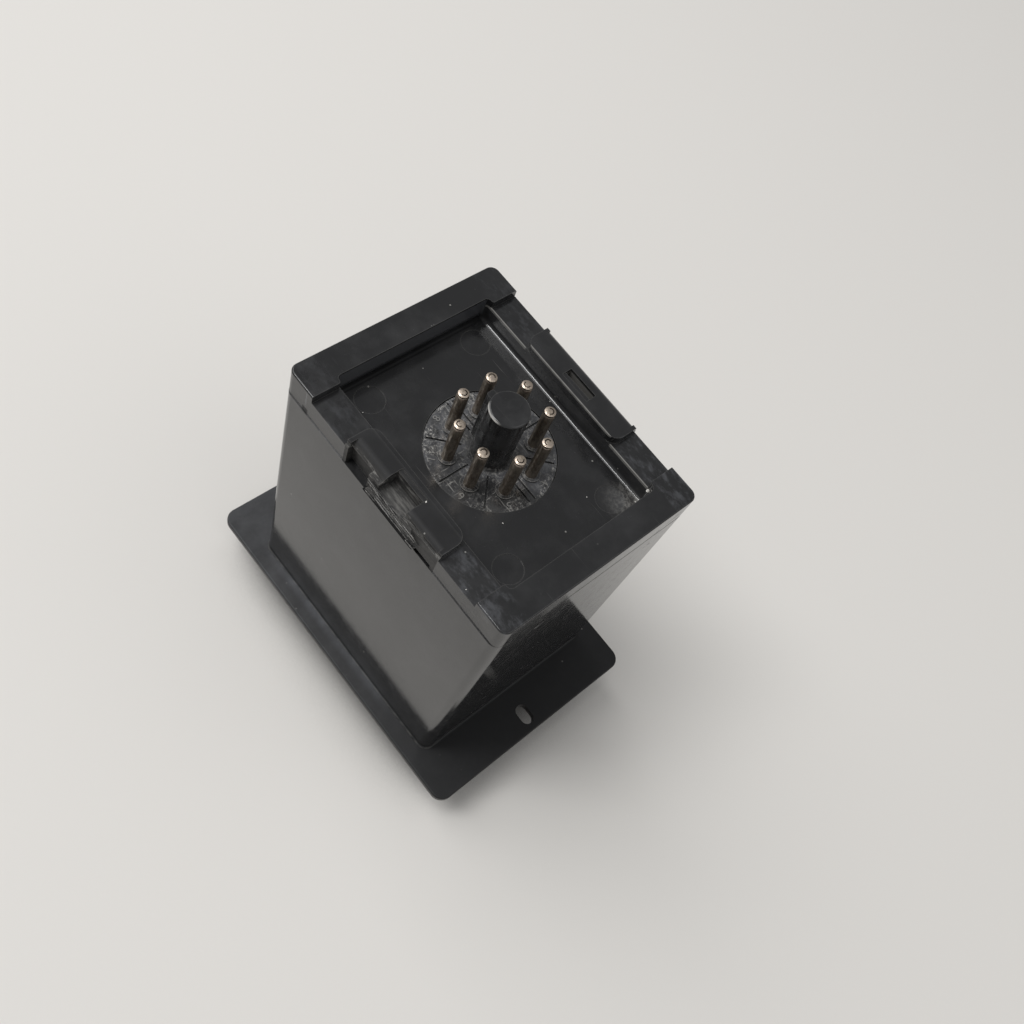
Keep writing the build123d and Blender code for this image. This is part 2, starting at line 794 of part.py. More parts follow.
def potentiometer_nut():
    """Hexagon nut that clamps the bush to the panel."""
    radius = nut_across_flats / 2 / cos(radians(30))
    body = Pos(0, 0, nut_front) * extrude(RegularPolygon(radius, 6), amount=nut_thickness)
    return body - disc(bush_diameter + 0.04, nut_front - 1, washer_front + 1)


def lock_washer():
    """Washer under the nut."""
    body = disc(washer_diameter, washer_front, front_face)
    return body - disc(bush_diameter + 2 * bush_clearance, washer_front - 1, front_face + 1)


def lamp_lens(x, y):
    """Domed lens with a rim behind the panel."""
    radius = lens_diameter / 2
    rim = lens_rim_diameter / 2
    rim_back = panel_back + lens_rim_thickness
    side = Polyline((0, rim_back), (rim, rim_back), (rim, panel_back), (radius, panel_back),
                    (radius, front_face))
    dome = dome_arc(radius, front_face, lens_dome)
    close = Line((0, front_face - lens_dome), (0, rim_back))
    return Pos(x, y, 0) * revolve(make_face(Plane.XZ * (side + dome + close)), Axis.Z)


def lamp_led(x, y):
    """Light-emitting diode behind its lens, with its two leads through the front board."""
    front = panel_back + lens_rim_thickness + led_gap
    back = front + led_length
    radius = led_diameter / 2
    rim = led_rim_diameter / 2
    side = Polyline((0, back), (rim, back), (rim, back - led_rim_thickness),
                    (radius, back - led_rim_thickness), (radius, front + radius))
    dome = dome_arc(radius, front + radius, radius)
    close = Line((0, front), (0, back))
    body = Pos(x, y, 0) * revolve(make_face(Plane.XZ * (side + dome + close)), Axis.Z)
    half = lead_size / 2
    for lead in led_lead_places(x, y):
        body += block(lead[0] - half, lead[0] + half, lead[1] - half, lead[1] + half,
                      back - 0.3, front_board_back + 0.8)
    return body


def led_lead_places(x, y):
    """The two leads of one diode."""
    return [(x, y - led_lead_pitch / 2), (x, y + led_lead_pitch / 2)]


def front_board():
    """Board behind the panel, on its four posts, with holes for screws and leads."""
    body = plate(front_board_length, front_board_width, board_corner_radius, front_board_face,
                 front_board_back)
    low = front_board_face - 1
    high = front_board_back + 1
    for x, y in post_places():
        body -= disc(screw_diameter + 2 * screw_clearance, low, high, x, y)
    slack = lead_clearance
    for x, y in terminal_places():
        body -= block(x - terminal_width / 2 - slack, x + terminal_width / 2 + slack, y - slack,
                      y + terminal_thickness + slack, low, high)
    half = lead_size / 2 + slack
    for lamp in lamp_places():
        for x, y in led_lead_places(*lamp):
            body -= block(x - half, x + half, y - half, y + half, low, high)
    return body


def board_screws():
    """Four screws that hold the front board on its posts."""
    screws = []
    for x, y in post_places():
        head = disc(screw_head_diameter, front_board_back, front_board_back + screw_head_height,
                    x, y)
        shank = disc(screw_diameter, front_board_back - screw_length, front_board_back + 0.2,
                     x, y)
        screws.append(head + shank)
    return Compound(screws)


def board_link():
    """Right-angle pin strip that joins the front board to the main board."""
    half = link_length / 2
    low = front_board_back
    body = block(-half, half, main_board_face, main_board_face + link_size, low, low + link_size)
    pitch = link_length / link_pin_count
    width = link_pin_width / 2
    for index in range(link_pin_count):
        x = (index - (link_pin_count - 1) / 2) * pitch
        y = main_board_face + link_size
        body += block(x - width, x + width, y - 0.2, y + 0.8, low, low + link_size / 2)
        body += block(x - width, x + width, main_board_face, main_board_face + 0.5,
                      low + link_size - 0.2, low + link_size + 1.2)
    return body


def main_board():
    """Upright board in the case's ribs, with a hole for each lead."""
    body = block(-main_board_half, main_board_half, main_board_back, main_board_face,
                 main_board_foot, main_board_top)
    half = lead_size / 2 + lead_clearance
    low = main_board_back - 1
    high = main_board_face + 1
    return body - [block(x - half, x + half, low, high, z - half, z + half)
                   for x, z in main_board_leads]


def transformer_middle():
    """The transformer's centre height above the board."""
    return main_board_face + coil_foot + coil_build + transformer_stack / 2


def transformer_core():
    """Laminated core with two windows."""
    y = transformer_middle()
    half_x = transformer_length / 2
    half_y = transformer_stack / 2
    half_z = transformer_height / 2
    body = block(-half_x, half_x, -half_y, half_y, -half_z, half_z)
    window_z = half_z - transformer_yoke
    near = transformer_leg / 2
    far = near + transformer_window
    body -= [block(*sorted((side * near, side * far)), -half_y - 1, half_y + 1,
                   -window_z, window_z) for side in (-1, 1)]
    return Pos(transformer_x, y, transformer_z) * body


def transformer_coil():
    """Wound bobbin round the core's middle leg, standing on the board."""
    inner_x = transformer_leg / 2 + coil_clearance
    inner_y = transformer_stack / 2 + coil_clearance
    outer_x = inner_x + coil_build
    outer_y = inner_y + coil_build - coil_clearance
    half_z = transformer_height / 2 - transformer_yoke - coil_clearance
    body = block(-outer_x, outer_x, -outer_y, outer_y, -half_z, half_z)
    upright = body.edges().filter_by(Axis.Z)
    body = fillet(upright, coil_build / 3)
    body -= block(-inner_x, inner_x, -inner_y, inner_y, -half_z - 1, half_z + 1)
    body = Pos(transformer_x, transformer_middle(), transformer_z) * body
    start = main_board_face + coil_foot + coil_build / 2
    return body + leads(transformer_leads, start)


def output_relay():
    """Sealed relay block."""
    low = main_board_face
    body = block(relay_x - relay_length / 2, relay_x + relay_length / 2, low, low + relay_height,
                 relay_z - relay_width / 2, relay_z + relay_width / 2)
    body = fillet(body.edges().filter_by(Axis.Y), relay_edge_radius)
    return body + leads(relay_leads, low + 0.5)


def smoothing_capacitor():
    """Electrolytic can with its crimp groove."""
    low = main_board_face
    body = stud(smoothing_diameter, low, low + smoothing_height, smoothing_x, smoothing_z)
    groove = stud(smoothing_diameter + 2, low + 2.0, low + 3.0, smoothing_x, smoothing_z)
    groove -= stud(smoothing_diameter - 2 * smoothing_groove, low + 1.5, low + 3.5, smoothing_x,
                   smoothing_z)
    return body - groove + leads(smoothing_leads, low + 0.5)


def timing_capacitor():
    """Film capacitor in a box."""
    low = main_board_face
    body = block(film_x - film_width / 2, film_x + film_width / 2, low, low + film_height,
                 film_z - film_length / 2, film_z + film_length / 2)
    return body + leads(film_leads, low + 0.5)


def timer_chip():
    """Timing chip: a moulded body with two rows of bent legs."""
    low = main_board_face + chip_stand
    half_z = chip_width / 2
    body = block(chip_x - chip_length / 2, chip_x + chip_length / 2, low, low + chip_height,
                 chip_z - half_z, chip_z + half_z)
    shoulder = low + chip_height / 2
    half = lead_size / 2
    for x, z in chip_leads:
        near, far = sorted((z + half if z > chip_z else z - half, chip_z))
        body += block(x - half, x + half, shoulder - half, shoulder + half, near, far)
    return body + leads(chip_leads, shoulder)


def rectifier():
    """Round bridge rectifier."""
    low = main_board_face
    body = stud(rectifier_diameter, low, low + rectifier_height, rectifier_x, rectifier_z)
    return body + leads(rectifier_leads, low + 0.5)


def driver_transistor():
    """Small transistor with one flat side, standing on its three legs."""
    low = main_board_face + transistor_stand
    body = stud(transistor_diameter, low, low + transistor_height, transistor_x, transistor_z)
    radius = transistor_diameter / 2
    flat = transistor_z + radius - transistor_flat
    body -= block(transistor_x - radius, transistor_x + radius, low - 1,
                  low + transistor_height + 1, flat, flat + radius)
    return body + leads(transistor_leads, low + 0.5)


def surge_absorber():
    """Disc varistor standing on its two leads."""
    middle = main_board_face + varistor_stand + varistor_diameter / 2
    body = Pos(varistor_x, middle, varistor_z) * Cylinder(varistor_diameter / 2,
                                                          varistor_thickness)
    body = fillet(body.edges(), varistor_thickness / 4)
    return body + leads(varistor_leads, middle - varistor_diameter / 4)


def lead_wire(index):
    """Wire from a pin's tail down and across to its pad on the main board."""
    x, y = pin_place(index)
    rank = wire_rank(index)
    level = pin_end - wire_first_drop - wire_bend_radius - rank * wire_level_step
    pad = (rank + 0.5) * wire_pad_pitch * (1 if x > 0 else -1)
    route = FilletPolyline((x, y, pin_end), (x, y, level), (pad, main_board_face, level),
                           radius=wire_bend_radius)
    start = Plane(origin=(x, y, pin_end), z_dir=(0, 0, -1))
    wire = sweep(start * Circle(wire_diameter / 2), path=route)
    return wire - block(-cavity_length, cavity_length, main_board_back, main_board_face,
                        main_board_foot, main_board_top)


def wire_rank(index):
    """How far a pin lies from the board, in steps of one wire level."""
    rows = sorted({round(pin_place(k)[1], 3) for k in range(1, pin_count + 1)})
    return rows.index(round(pin_place(index)[1], 3))


lenses = dict(zip(("power_lamp_lens", "output_lamp_lens"), lamp_places()))
diodes = dict(zip(("power_lamp_diode", "output_lamp_diode"), lamp_places()))
numbers = range(1, pin_count + 1)

parts = {
    "case": case(),
    "rear_cap": rear_cap(),
    "plug_base": plug_base(),
    **{f"contact_pin_{index}": contact_pin(index) for index in numbers},
    "front_panel": front_panel(),
    "dial_plate": dial_plate(),
    "setting_knob": setting_knob(),
    "knob_cap": knob_cap(),
    "potentiometer_body": potentiometer_body(),
    "potentiometer_track": potentiometer_track(),
    "potentiometer_wiper": potentiometer_wiper(),
    "potentiometer_shaft": potentiometer_shaft(),
    "potentiometer_nut": potentiometer_nut(),
    "lock_washer": lock_washer(),
    **{name: lamp_lens(*place) for name, place in lenses.items()},
    **{name: lamp_led(*place) for name, place in diodes.items()},
    "front_board": front_board(),
    "board_screws": board_screws(),
    "board_link": board_link(),
    "main_board": main_board(),
    "transformer_core": transformer_core(),
    "transformer_coil": transformer_coil(),
    "output_relay": output_relay(),
    "smoothing_capacitor": smoothing_capacitor(),
    "timing_capacitor": timing_capacitor(),
    "timer_chip": timer_chip(),
    "rectifier": rectifier(),
    "driver_transistor": driver_transistor(),
    "surge_absorber": surge_absorber(),
    **{f"lead_wire_{index}": lead_wire(index) for index in numbers},
}

os.makedirs("parts", exist_ok=True)
for name, solid in parts.items():
    export_step(solid, f"parts/{name}.step")
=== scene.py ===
import math

import bmesh
import bpy
from bpy.props import FloatProperty, FloatVectorProperty, IntProperty, PointerProperty
from mathutils import Matrix, Vector


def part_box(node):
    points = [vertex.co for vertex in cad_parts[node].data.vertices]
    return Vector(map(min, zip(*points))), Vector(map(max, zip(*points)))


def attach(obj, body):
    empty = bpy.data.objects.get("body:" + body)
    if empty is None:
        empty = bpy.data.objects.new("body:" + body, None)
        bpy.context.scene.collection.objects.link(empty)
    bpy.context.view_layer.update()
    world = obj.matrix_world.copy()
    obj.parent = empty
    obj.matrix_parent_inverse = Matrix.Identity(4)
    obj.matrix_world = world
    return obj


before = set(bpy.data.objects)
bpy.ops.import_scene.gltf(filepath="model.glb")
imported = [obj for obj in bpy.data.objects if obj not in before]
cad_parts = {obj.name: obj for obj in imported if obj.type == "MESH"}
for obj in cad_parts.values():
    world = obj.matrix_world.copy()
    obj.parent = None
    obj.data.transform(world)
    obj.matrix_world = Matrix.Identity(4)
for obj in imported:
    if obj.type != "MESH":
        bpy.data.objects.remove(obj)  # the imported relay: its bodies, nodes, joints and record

bl_info = {
    "name": "Timer relay",
    "version": (1, 0, 0),
    "blender": (4, 5, 0),
    "location": "3D View > Sidebar > Relay",
    "description": "Finishes a plug-in timer relay round its packed solids",
    "category": "Object",
}

MM = 0.001
HOUSING = "housing"
DIAL = "dial"
PINS = range(1, 9)
CAPITAL_SHARE = 0.7  # height of a number beside its font's size
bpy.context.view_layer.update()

# Levels that the new pieces sit on, in metres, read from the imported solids
RECESS_DEPTH = 6.0 * MM
PLUG_SINK = 0.3 * MM
floor_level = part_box("setting_knob")[0].z
dial_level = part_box("dial_plate")[0].z
knob_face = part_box("knob_cap")[0].z
pin_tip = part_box("contact_pin_1")[1].z
cap_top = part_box("rear_cap")[1].z
disc_level = cap_top - RECESS_DEPTH - PLUG_SINK

# Levels that the finishes follow, in millimetres
CAP_TOP = cap_top / MM
LEDGE = CAP_TOP - 1.8  # the cap's long side bands, outside the clip seats
RECESS = CAP_TOP - RECESS_DEPTH / MM
DISC = disc_level / MM
PIN_TOP = pin_tip / MM
SPIGOT_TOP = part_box("plug_base")[1].z / MM

# Lines that the finishes follow, in millimetres from the plug's axis
CASE_END = 31.15
CASE_SIDE = 24.8
CAP_SIDE = 24.5
RECESS_END = 25.0
RECESS_SIDE = 18.2
SEAT_END = 13.4
CLIP_SLOT_END = 3.6
PLUG_RIM = 13.0
SPIGOT = 3.95
NUMBER_RING = 11.75


def pin_centre(index):
    """The middle of a pin's axis, seen from the plug."""
    low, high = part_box(f"contact_pin_{index}")
    return (low + high) / 2


def span(name, description, size):
    """A length property, its usual value in millimetres."""
    return FloatProperty(name=name, description=description, default=size * MM, unit="LENGTH")


class RelaySizes(bpy.types.PropertyGroup):
    """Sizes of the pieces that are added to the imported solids"""

    pin_number_height: span(
        "Pin number height", "Height of the raised numbers beside the pins", 1.5)
    pin_number_relief: span("Pin number relief", "How far those numbers stand proud", 0.12)
    solder_radius: span("Solder radius", "Radius of the solder bead on a pin's tip", 1.1)
    solder_height: span("Solder height", "Height of the bead's straight side", 0.7)
    solder_rise: span("Solder rise", "How far that side stands above the pin's tip", 0.05)
    slit_depth: span("Slit depth", "Depth of the curved slit in a bead's top", 0.36)
    dial_number_height: span(
        "Dial number height", "Height of the printed numbers on the scale", 2.1)
    tick_radius: span("Tick radius", "Radius at which the scale's ticks begin", 15.9)
    tick_length: span("Tick length", "Length of a main tick on the scale", 1.5)
    tick_width: span("Tick width", "Width of a main tick on the scale", 0.35)
    half_tick_width: span("Half tick width", "Width of a tick between two numbers", 0.22)
    half_tick_share: FloatProperty(
        name="Half tick share", description="Length of a tick between numbers beside a main one",
        default=0.6)
    arc_width: span("Arc width", "Width of the arc along the ticks' inner ends", 0.25)
    number_gap: span("Number gap", "From a main tick's outer end to its number's middle", 1.5)
    pointer_start: span(
        "Pointer start", "Distance of the pointer's inner end from the shaft", 2.5)
    pointer_length: span("Pointer length", "Length of the white fill in the knob's cap", 6.3)
    pointer_width: span("Pointer width", "Width of that fill", 1.4)
    ink_thickness: span("Ink thickness", "Thickness of the printing on the scale plate", 0.04)
    scale_steps: IntProperty(
        name="Scale steps", description="Numbered steps on the scale", default=10, min=2)
    scale_sweep: FloatProperty(
        name="Scale sweep", description="Angle from the first number to the last",
        default=math.radians(270), subtype="ANGLE")
    floor_width: FloatProperty(
        name="Floor width", description="Side of the square floor", default=8.0, unit="LENGTH")


def colour(name, description, default):
    """A colour property with plain limits."""
    return FloatVectorProperty(name=name, description=description, default=default,
                               subtype="COLOR", size=3, min=0.0, max=1.0)


class RelayColours(bpy.types.PropertyGroup):
    """Colours of the relay's finishes and of the floor"""

    moulding: colour("Moulding", "Black of the case and the cap", (0.012, 0.012, 0.0125))
    haze: colour("Haze", "Thin grey film on the black moulding", (0.085, 0.085, 0.087))
    film: colour("Film", "Bluish film of fine dust on edges and ledges", (0.1, 0.103, 0.112))
    dust: colour("Dust", "Settled dust in corners and grooves", (0.33, 0.32, 0.30))
    torn: colour("Torn plastic", "Stressed plastic along the break", (0.16, 0.155, 0.15))
    pin: colour("Pin", "Tarnished plating on the pins", (0.46, 0.40, 0.33))
    tarnish: colour("Tarnish", "Dark tarnish on the pins", (0.15, 0.115, 0.085))
    solder: colour("Solder", "Solder on the pins' tips", (0.47, 0.39, 0.33))
    oxide: colour("Oxide", "Black oxide round a pin's end", (0.02, 0.015, 0.012))
    # Painted shade: this near black is laid on the slit's bottom and on the bead's side below the
    # pin's tip
    slit: colour("Slit", "Bottom of the slit in the solder", (0.03, 0.022, 0.016))
    brass: colour("Brass", "Bare brass of the bush and the nut", (0.56, 0.40, 0.17))
    steel: colour("Steel", "Zinc plated steel", (0.48, 0.48, 0.47))
    plate: colour("Scale plate", "Light grey scale plate", (0.56, 0.57, 0.56))
    ink: colour("Ink", "Printing on the scale plate", (0.015, 0.015, 0.017))
    knob_cap: colour("Knob cap", "Grey cap in the knob", (0.17, 0.175, 0.18))
    pointer: colour("Pointer", "White line on the knob", (0.75, 0.75, 0.73))
    green_lens: colour("Green lens", "Lens of the power lamp", (0.02, 0.33, 0.06))
    red_lens: colour("Red lens", "Lens of the output lamp", (0.5, 0.018, 0.012))
    board: colour("Board", "Green circuit board", (0.03, 0.14, 0.05))
    phenolic: colour("Phenolic", "Brown laminate", (0.2, 0.1, 0.045))
    varnish: colour("Varnish", "Dark varnish between laminations", (0.03, 0.028, 0.026))
    copper: colour("Copper", "Wound copper", (0.52, 0.22, 0.09))
    nylon: colour("Nylon", "Natural nylon", (0.68, 0.65, 0.55))
    relay_blue: colour("Relay blue", "Sealed relay block", (0.03, 0.07, 0.24))
    sleeve: colour("Sleeve", "Capacitor's dark blue sleeve", (0.012, 0.018, 0.06))
    film_box: colour("Film box", "Yellow film capacitor", (0.55, 0.4, 0.06))
    wire: colour("Wire", "Red wire insulation", (0.42, 0.02, 0.015))
    floor: colour("Floor", "Pale floor", (0.66, 0.64, 0.61))


def tone(tint, share):
    """A colour made darker, or lighter with a share above 1."""
    return tuple(min(1.0, share * c) for c in tint)


# Sockets of a colour mixing node: factor, colour below, colour above, and result
MIX_FACTOR, MIX_BELOW, MIX_ABOVE, MIX_RESULT = 0, 6, 7, 2
PLAIN_SHINE = 0.5  # the shader's own level of specular light


class Finish:
    """A material in the making: its nodes, its shader and the object's own coordinates."""

    def __init__(self, name, base, roughness, metallic=0.0, **sockets):
        self.material = bpy.data.materials.new(name)
        self.material.use_nodes = True
        self.tree = self.material.node_tree
        self.shader = self.tree.nodes["Principled BSDF"]
        self.shader.inputs["Base Color"].default_value = (*base, 1.0)
        self.shader.inputs["Roughness"].default_value = roughness
        self.shader.inputs["Metallic"].default_value = metallic
        for socket, value in sockets.items():
            self.shader.inputs[socket.replace("_", " ")].default_value = value
        self.where = self.node("ShaderNodeTexCoord").outputs["Object"]
        self.x, self.y, self.z = self.node("ShaderNodeSeparateXYZ", {0: self.where}).outputs

    def node(self, kind, inputs=None, **settings):
        """Adds a node; each input is a number, a colour or another node's output."""
        made = self.tree.nodes.new(kind)
        for name, value in settings.items():
            setattr(made, name, value)
        for key, value in (inputs or {}).items():
            if isinstance(value, bpy.types.NodeSocket):
                self.tree.links.new(value, made.inputs[key])
            else:
                made.inputs[key].default_value = value
        return made

    def clouds(self, size, detail=4.0, stretch=(1.0, 1.0, 1.0), turn=(0.0, 0.0, 0.0), rough=0.6):
        """Soft patches about size millimetres across, drawn out along an axis by stretch."""
        laid = self.node("ShaderNodeMapping", {"Vector": self.where, "Rotation": turn,
                                               "Scale": tuple(1.0 / s for s in stretch)})
        return self.node("ShaderNodeTexNoise", {"Vector": laid.outputs[0], "Scale": 1 / (size * MM),
                                                "Detail": detail, "Roughness": rough}).outputs[0]

    def fade(self, value, low, high, start=0.0, end=1.0):
        """Start below low, end above high, and smooth between them."""
        return self.node("ShaderNodeMapRange", {"Value": value, "From Min": low, "From Max": high,
                                                "To Min": start, "To Max": end},
                         interpolation_type="SMOOTHSTEP", clamp=True).outputs[0]

    def ramp(self, value, low, high, start=0.0, end=1.0):
        """The same along a length, with low and high in millimetres, in either order."""
        return self.fade(value, low * MM, high * MM, start, end)

    def maths(self, operation, first, second=0.0):
        """One arithmetic node."""
        return self.node("ShaderNodeMath", {0: first, 1: second}, operation=operation).outputs[0]

    def both(self, first, *others):
        """Where all of these hold: their product."""
        for other in others:
            first = self.maths("MULTIPLY", first, other)
        return first

    def either(self, first, *others):
        """Where any of these holds: their maximum."""
        for other in others:
            first = self.maths("MAXIMUM", first, other)
        return first

    def between(self, value, low, high, soft):
        """1 from low to high, fading out over soft, all in millimetres."""
        return self.both(self.ramp(value, low - soft, low),
                         self.ramp(value, high, high + soft, 1.0, 0.0))

    def radius(self):
        """Distance from the plug's axis."""
        flat = self.node("ShaderNodeVectorMath", {0: self.where, 1: (1.0, 1.0, 0.0)},
                         operation="MULTIPLY").outputs[0]
        return self.node("ShaderNodeVectorMath", {0: flat}, operation="LENGTH").outputs["Value"]

    def edges(self, reach):
        """1 along edges and corners, from the turn of a bevelled normal."""
        bevel = self.node("ShaderNodeBevel", {"Radius": reach * MM}, samples=4).outputs[0]
        true = self.node("ShaderNodeNewGeometry").outputs["Normal"]
        along = self.node("ShaderNodeVectorMath", {0: bevel, 1: true},
                          operation="DOT_PRODUCT").outputs["Value"]
        return self.fade(self.maths("SUBTRACT", 1.0, along), 0.02, 0.25)

    def paint(self, tint, amount):
        """Lays another colour over the base colour by an amount from 0 to 1."""
        below = self.shader.inputs["Base Color"]
        mix = self.node("ShaderNodeMix", {MIX_FACTOR: amount, MIX_ABOVE: (*tint, 1.0)},
                        data_type="RGBA")
        if below.is_linked:
            self.tree.links.new(below.links[0].from_socket, mix.inputs[MIX_BELOW])
        else:
            mix.inputs[MIX_BELOW].default_value = below.default_value
        self.tree.links.new(mix.outputs[MIX_RESULT], below)

    def blur(self, pattern, shiny, dull):
        """Roughness from shiny to dull, by a pattern from 0 to 1."""
        mixed = self.fade(pattern, 0.0, 1.0, shiny, dull)
        self.tree.links.new(mixed, self.shader.inputs["Roughness"])

    def dim(self, pattern, level=0.05):
        """Takes the shine off where a pattern is 1, as in a narrow gap that traps the light."""
        self.tree.links.new(self.fade(pattern, 0.0, 1.0, PLAIN_SHINE, level),
                            self.shader.inputs["Specular IOR Level"])

    def relief(self, pattern, depth, strength=1.0):
        """Bumps up to depth millimetres deep, on top of any before."""
        normal = self.shader.inputs["Normal"]
        bump = self.node("ShaderNodeBump", {"Height": pattern, "Distance": depth * MM,
                                            "Strength": strength})
        if normal.is_linked:
            self.tree.links.new(normal.links[0].from_socket, bump.inputs["Normal"])
        self.tree.links.new(bump.outputs[0], normal)


def black_moulding(name, colours, shiny, dull, haze):
    """Black moulded plastic with a thin hazy film, fine scratches and slightly worn edges."""
    finish = Finish(name, colours.moulding, shiny)
    film = finish.clouds(9, 6)
    finish.paint(colours.haze, finish.fade(film, 0.38, 0.68, 0.0, haze))
    long_scratch = finish.clouds(0.4, 2, (40, 1, 1), (0, 0, 0.3))
    cross_scratch = finish.clouds(0.35, 2, (1, 1, 34), (0.2, 0.4, 0))
    scratch = finish.either(finish.fade(long_scratch, 0.72, 0.78),
                            finish.fade(cross_scratch, 0.72, 0.78))
    finish.paint(colours.dust, finish.both(scratch, 0.1))
    finish.paint(colours.dust, finish.both(finish.edges(0.3), 0.15))
    finish.blur(finish.either(finish.fade(film, 0.4, 0.75), scratch), shiny, dull)
    finish.relief(finish.clouds(0.14, 2), 0.004)
    finish.relief(finish.clouds(5.0, 3), 0.01)
    return finish


def specks(finish, spacing, share):
    """Small round specks of dust: a share of the cells, spacing millimetres apart, has one."""
    cells = finish.node("ShaderNodeTexVoronoi", {"Vector": finish.where,
                                                 "Scale": 1 / (spacing * MM)})
    near = finish.fade(cells.outputs["Distance"], 0.05, 0.11, 1.0, 0.0)
    chosen = finish.node("ShaderNodeSeparateColor", {0: cells.outputs["Color"]}).outputs[0]
    return finish.both(near, finish.fade(chosen, 1 - share - 0.01, 1 - share))


def case_finish(colours):
    """The case: an even film on its walls, a duller, dustier flange, and painted shade on the
    flange's margin towards +X.
    """
    finish = black_moulding("case_black", colours, shiny=0.11, dull=0.2, haze=0.1)
    x, y, z = finish.x, finish.y, finish.z
    paint, clouds, fade, ramp = finish.paint, finish.clouds, finish.fade, finish.ramp
    both, either = finish.both, finish.either

    soft = fade(clouds(2.5, 6, rough=0.7), 0.4, 0.66)
    paint(colours.haze, both(soft, 0.12))
    flange = ramp(z, 0.05, 0.5, 1.0, 0.0)
    smear = fade(clouds(9, 6, (1, 2, 1)), 0.36, 0.68, 0.35, 1.0)
    left = either(ramp(x, 2, -30), ramp(y, -18, -26))
    corner = ramp(x, -14, -27, 0.14, 0.32)
    paint(colours.film, both(flange, smear, left, corner))
    swept = both(ramp(y, -CASE_SIDE + 0.1, -CASE_SIDE - 0.1),
                 ramp(y, -CASE_SIDE - 2.4, -CASE_SIDE - 0.4),
                 ramp(x, -32, -20), ramp(x, 27, 5))
    paint(colours.film, both(flange, swept, smear))
    finish.dim(flange, 0.26)
    # Painted shade: the flange's margin towards +X, where the case's shadow falls, is painted back
    # towards black
    shaded_margin = both(flange, ramp(x, 5, 30))
    paint(colours.moulding, both(shaded_margin, 0.8))
    # A pale line painted along the case's foot on the -X and -Y sides: dust, and a painted
    # highlight for the light that its bevel catches
    foot = both(finish.between(z, 0.08, 0.34, 0.06), fade(clouds(1.4, 5), 0.35, 0.6))
    paint(colours.dust, both(foot, left, 0.12))
    paint(colours.dust, both(specks(finish, 2.2, 0.08), flange, 0.5))
    paint(colours.dust, both(specks(finish, 3.1, 0.05), 0.4))

    spots = fade(clouds(3.2, 5, rough=0.7), 0.62, 0.72)
    side = ramp(x, CASE_END - 0.95, CASE_END - 0.35)
    finish.blur(either(both(spots, side, 0.8), both(flange, 0.9),
                       fade(soft, 0.0, 1.0, 0.0, 0.25)), 0.11, 0.42)
    return finish.material


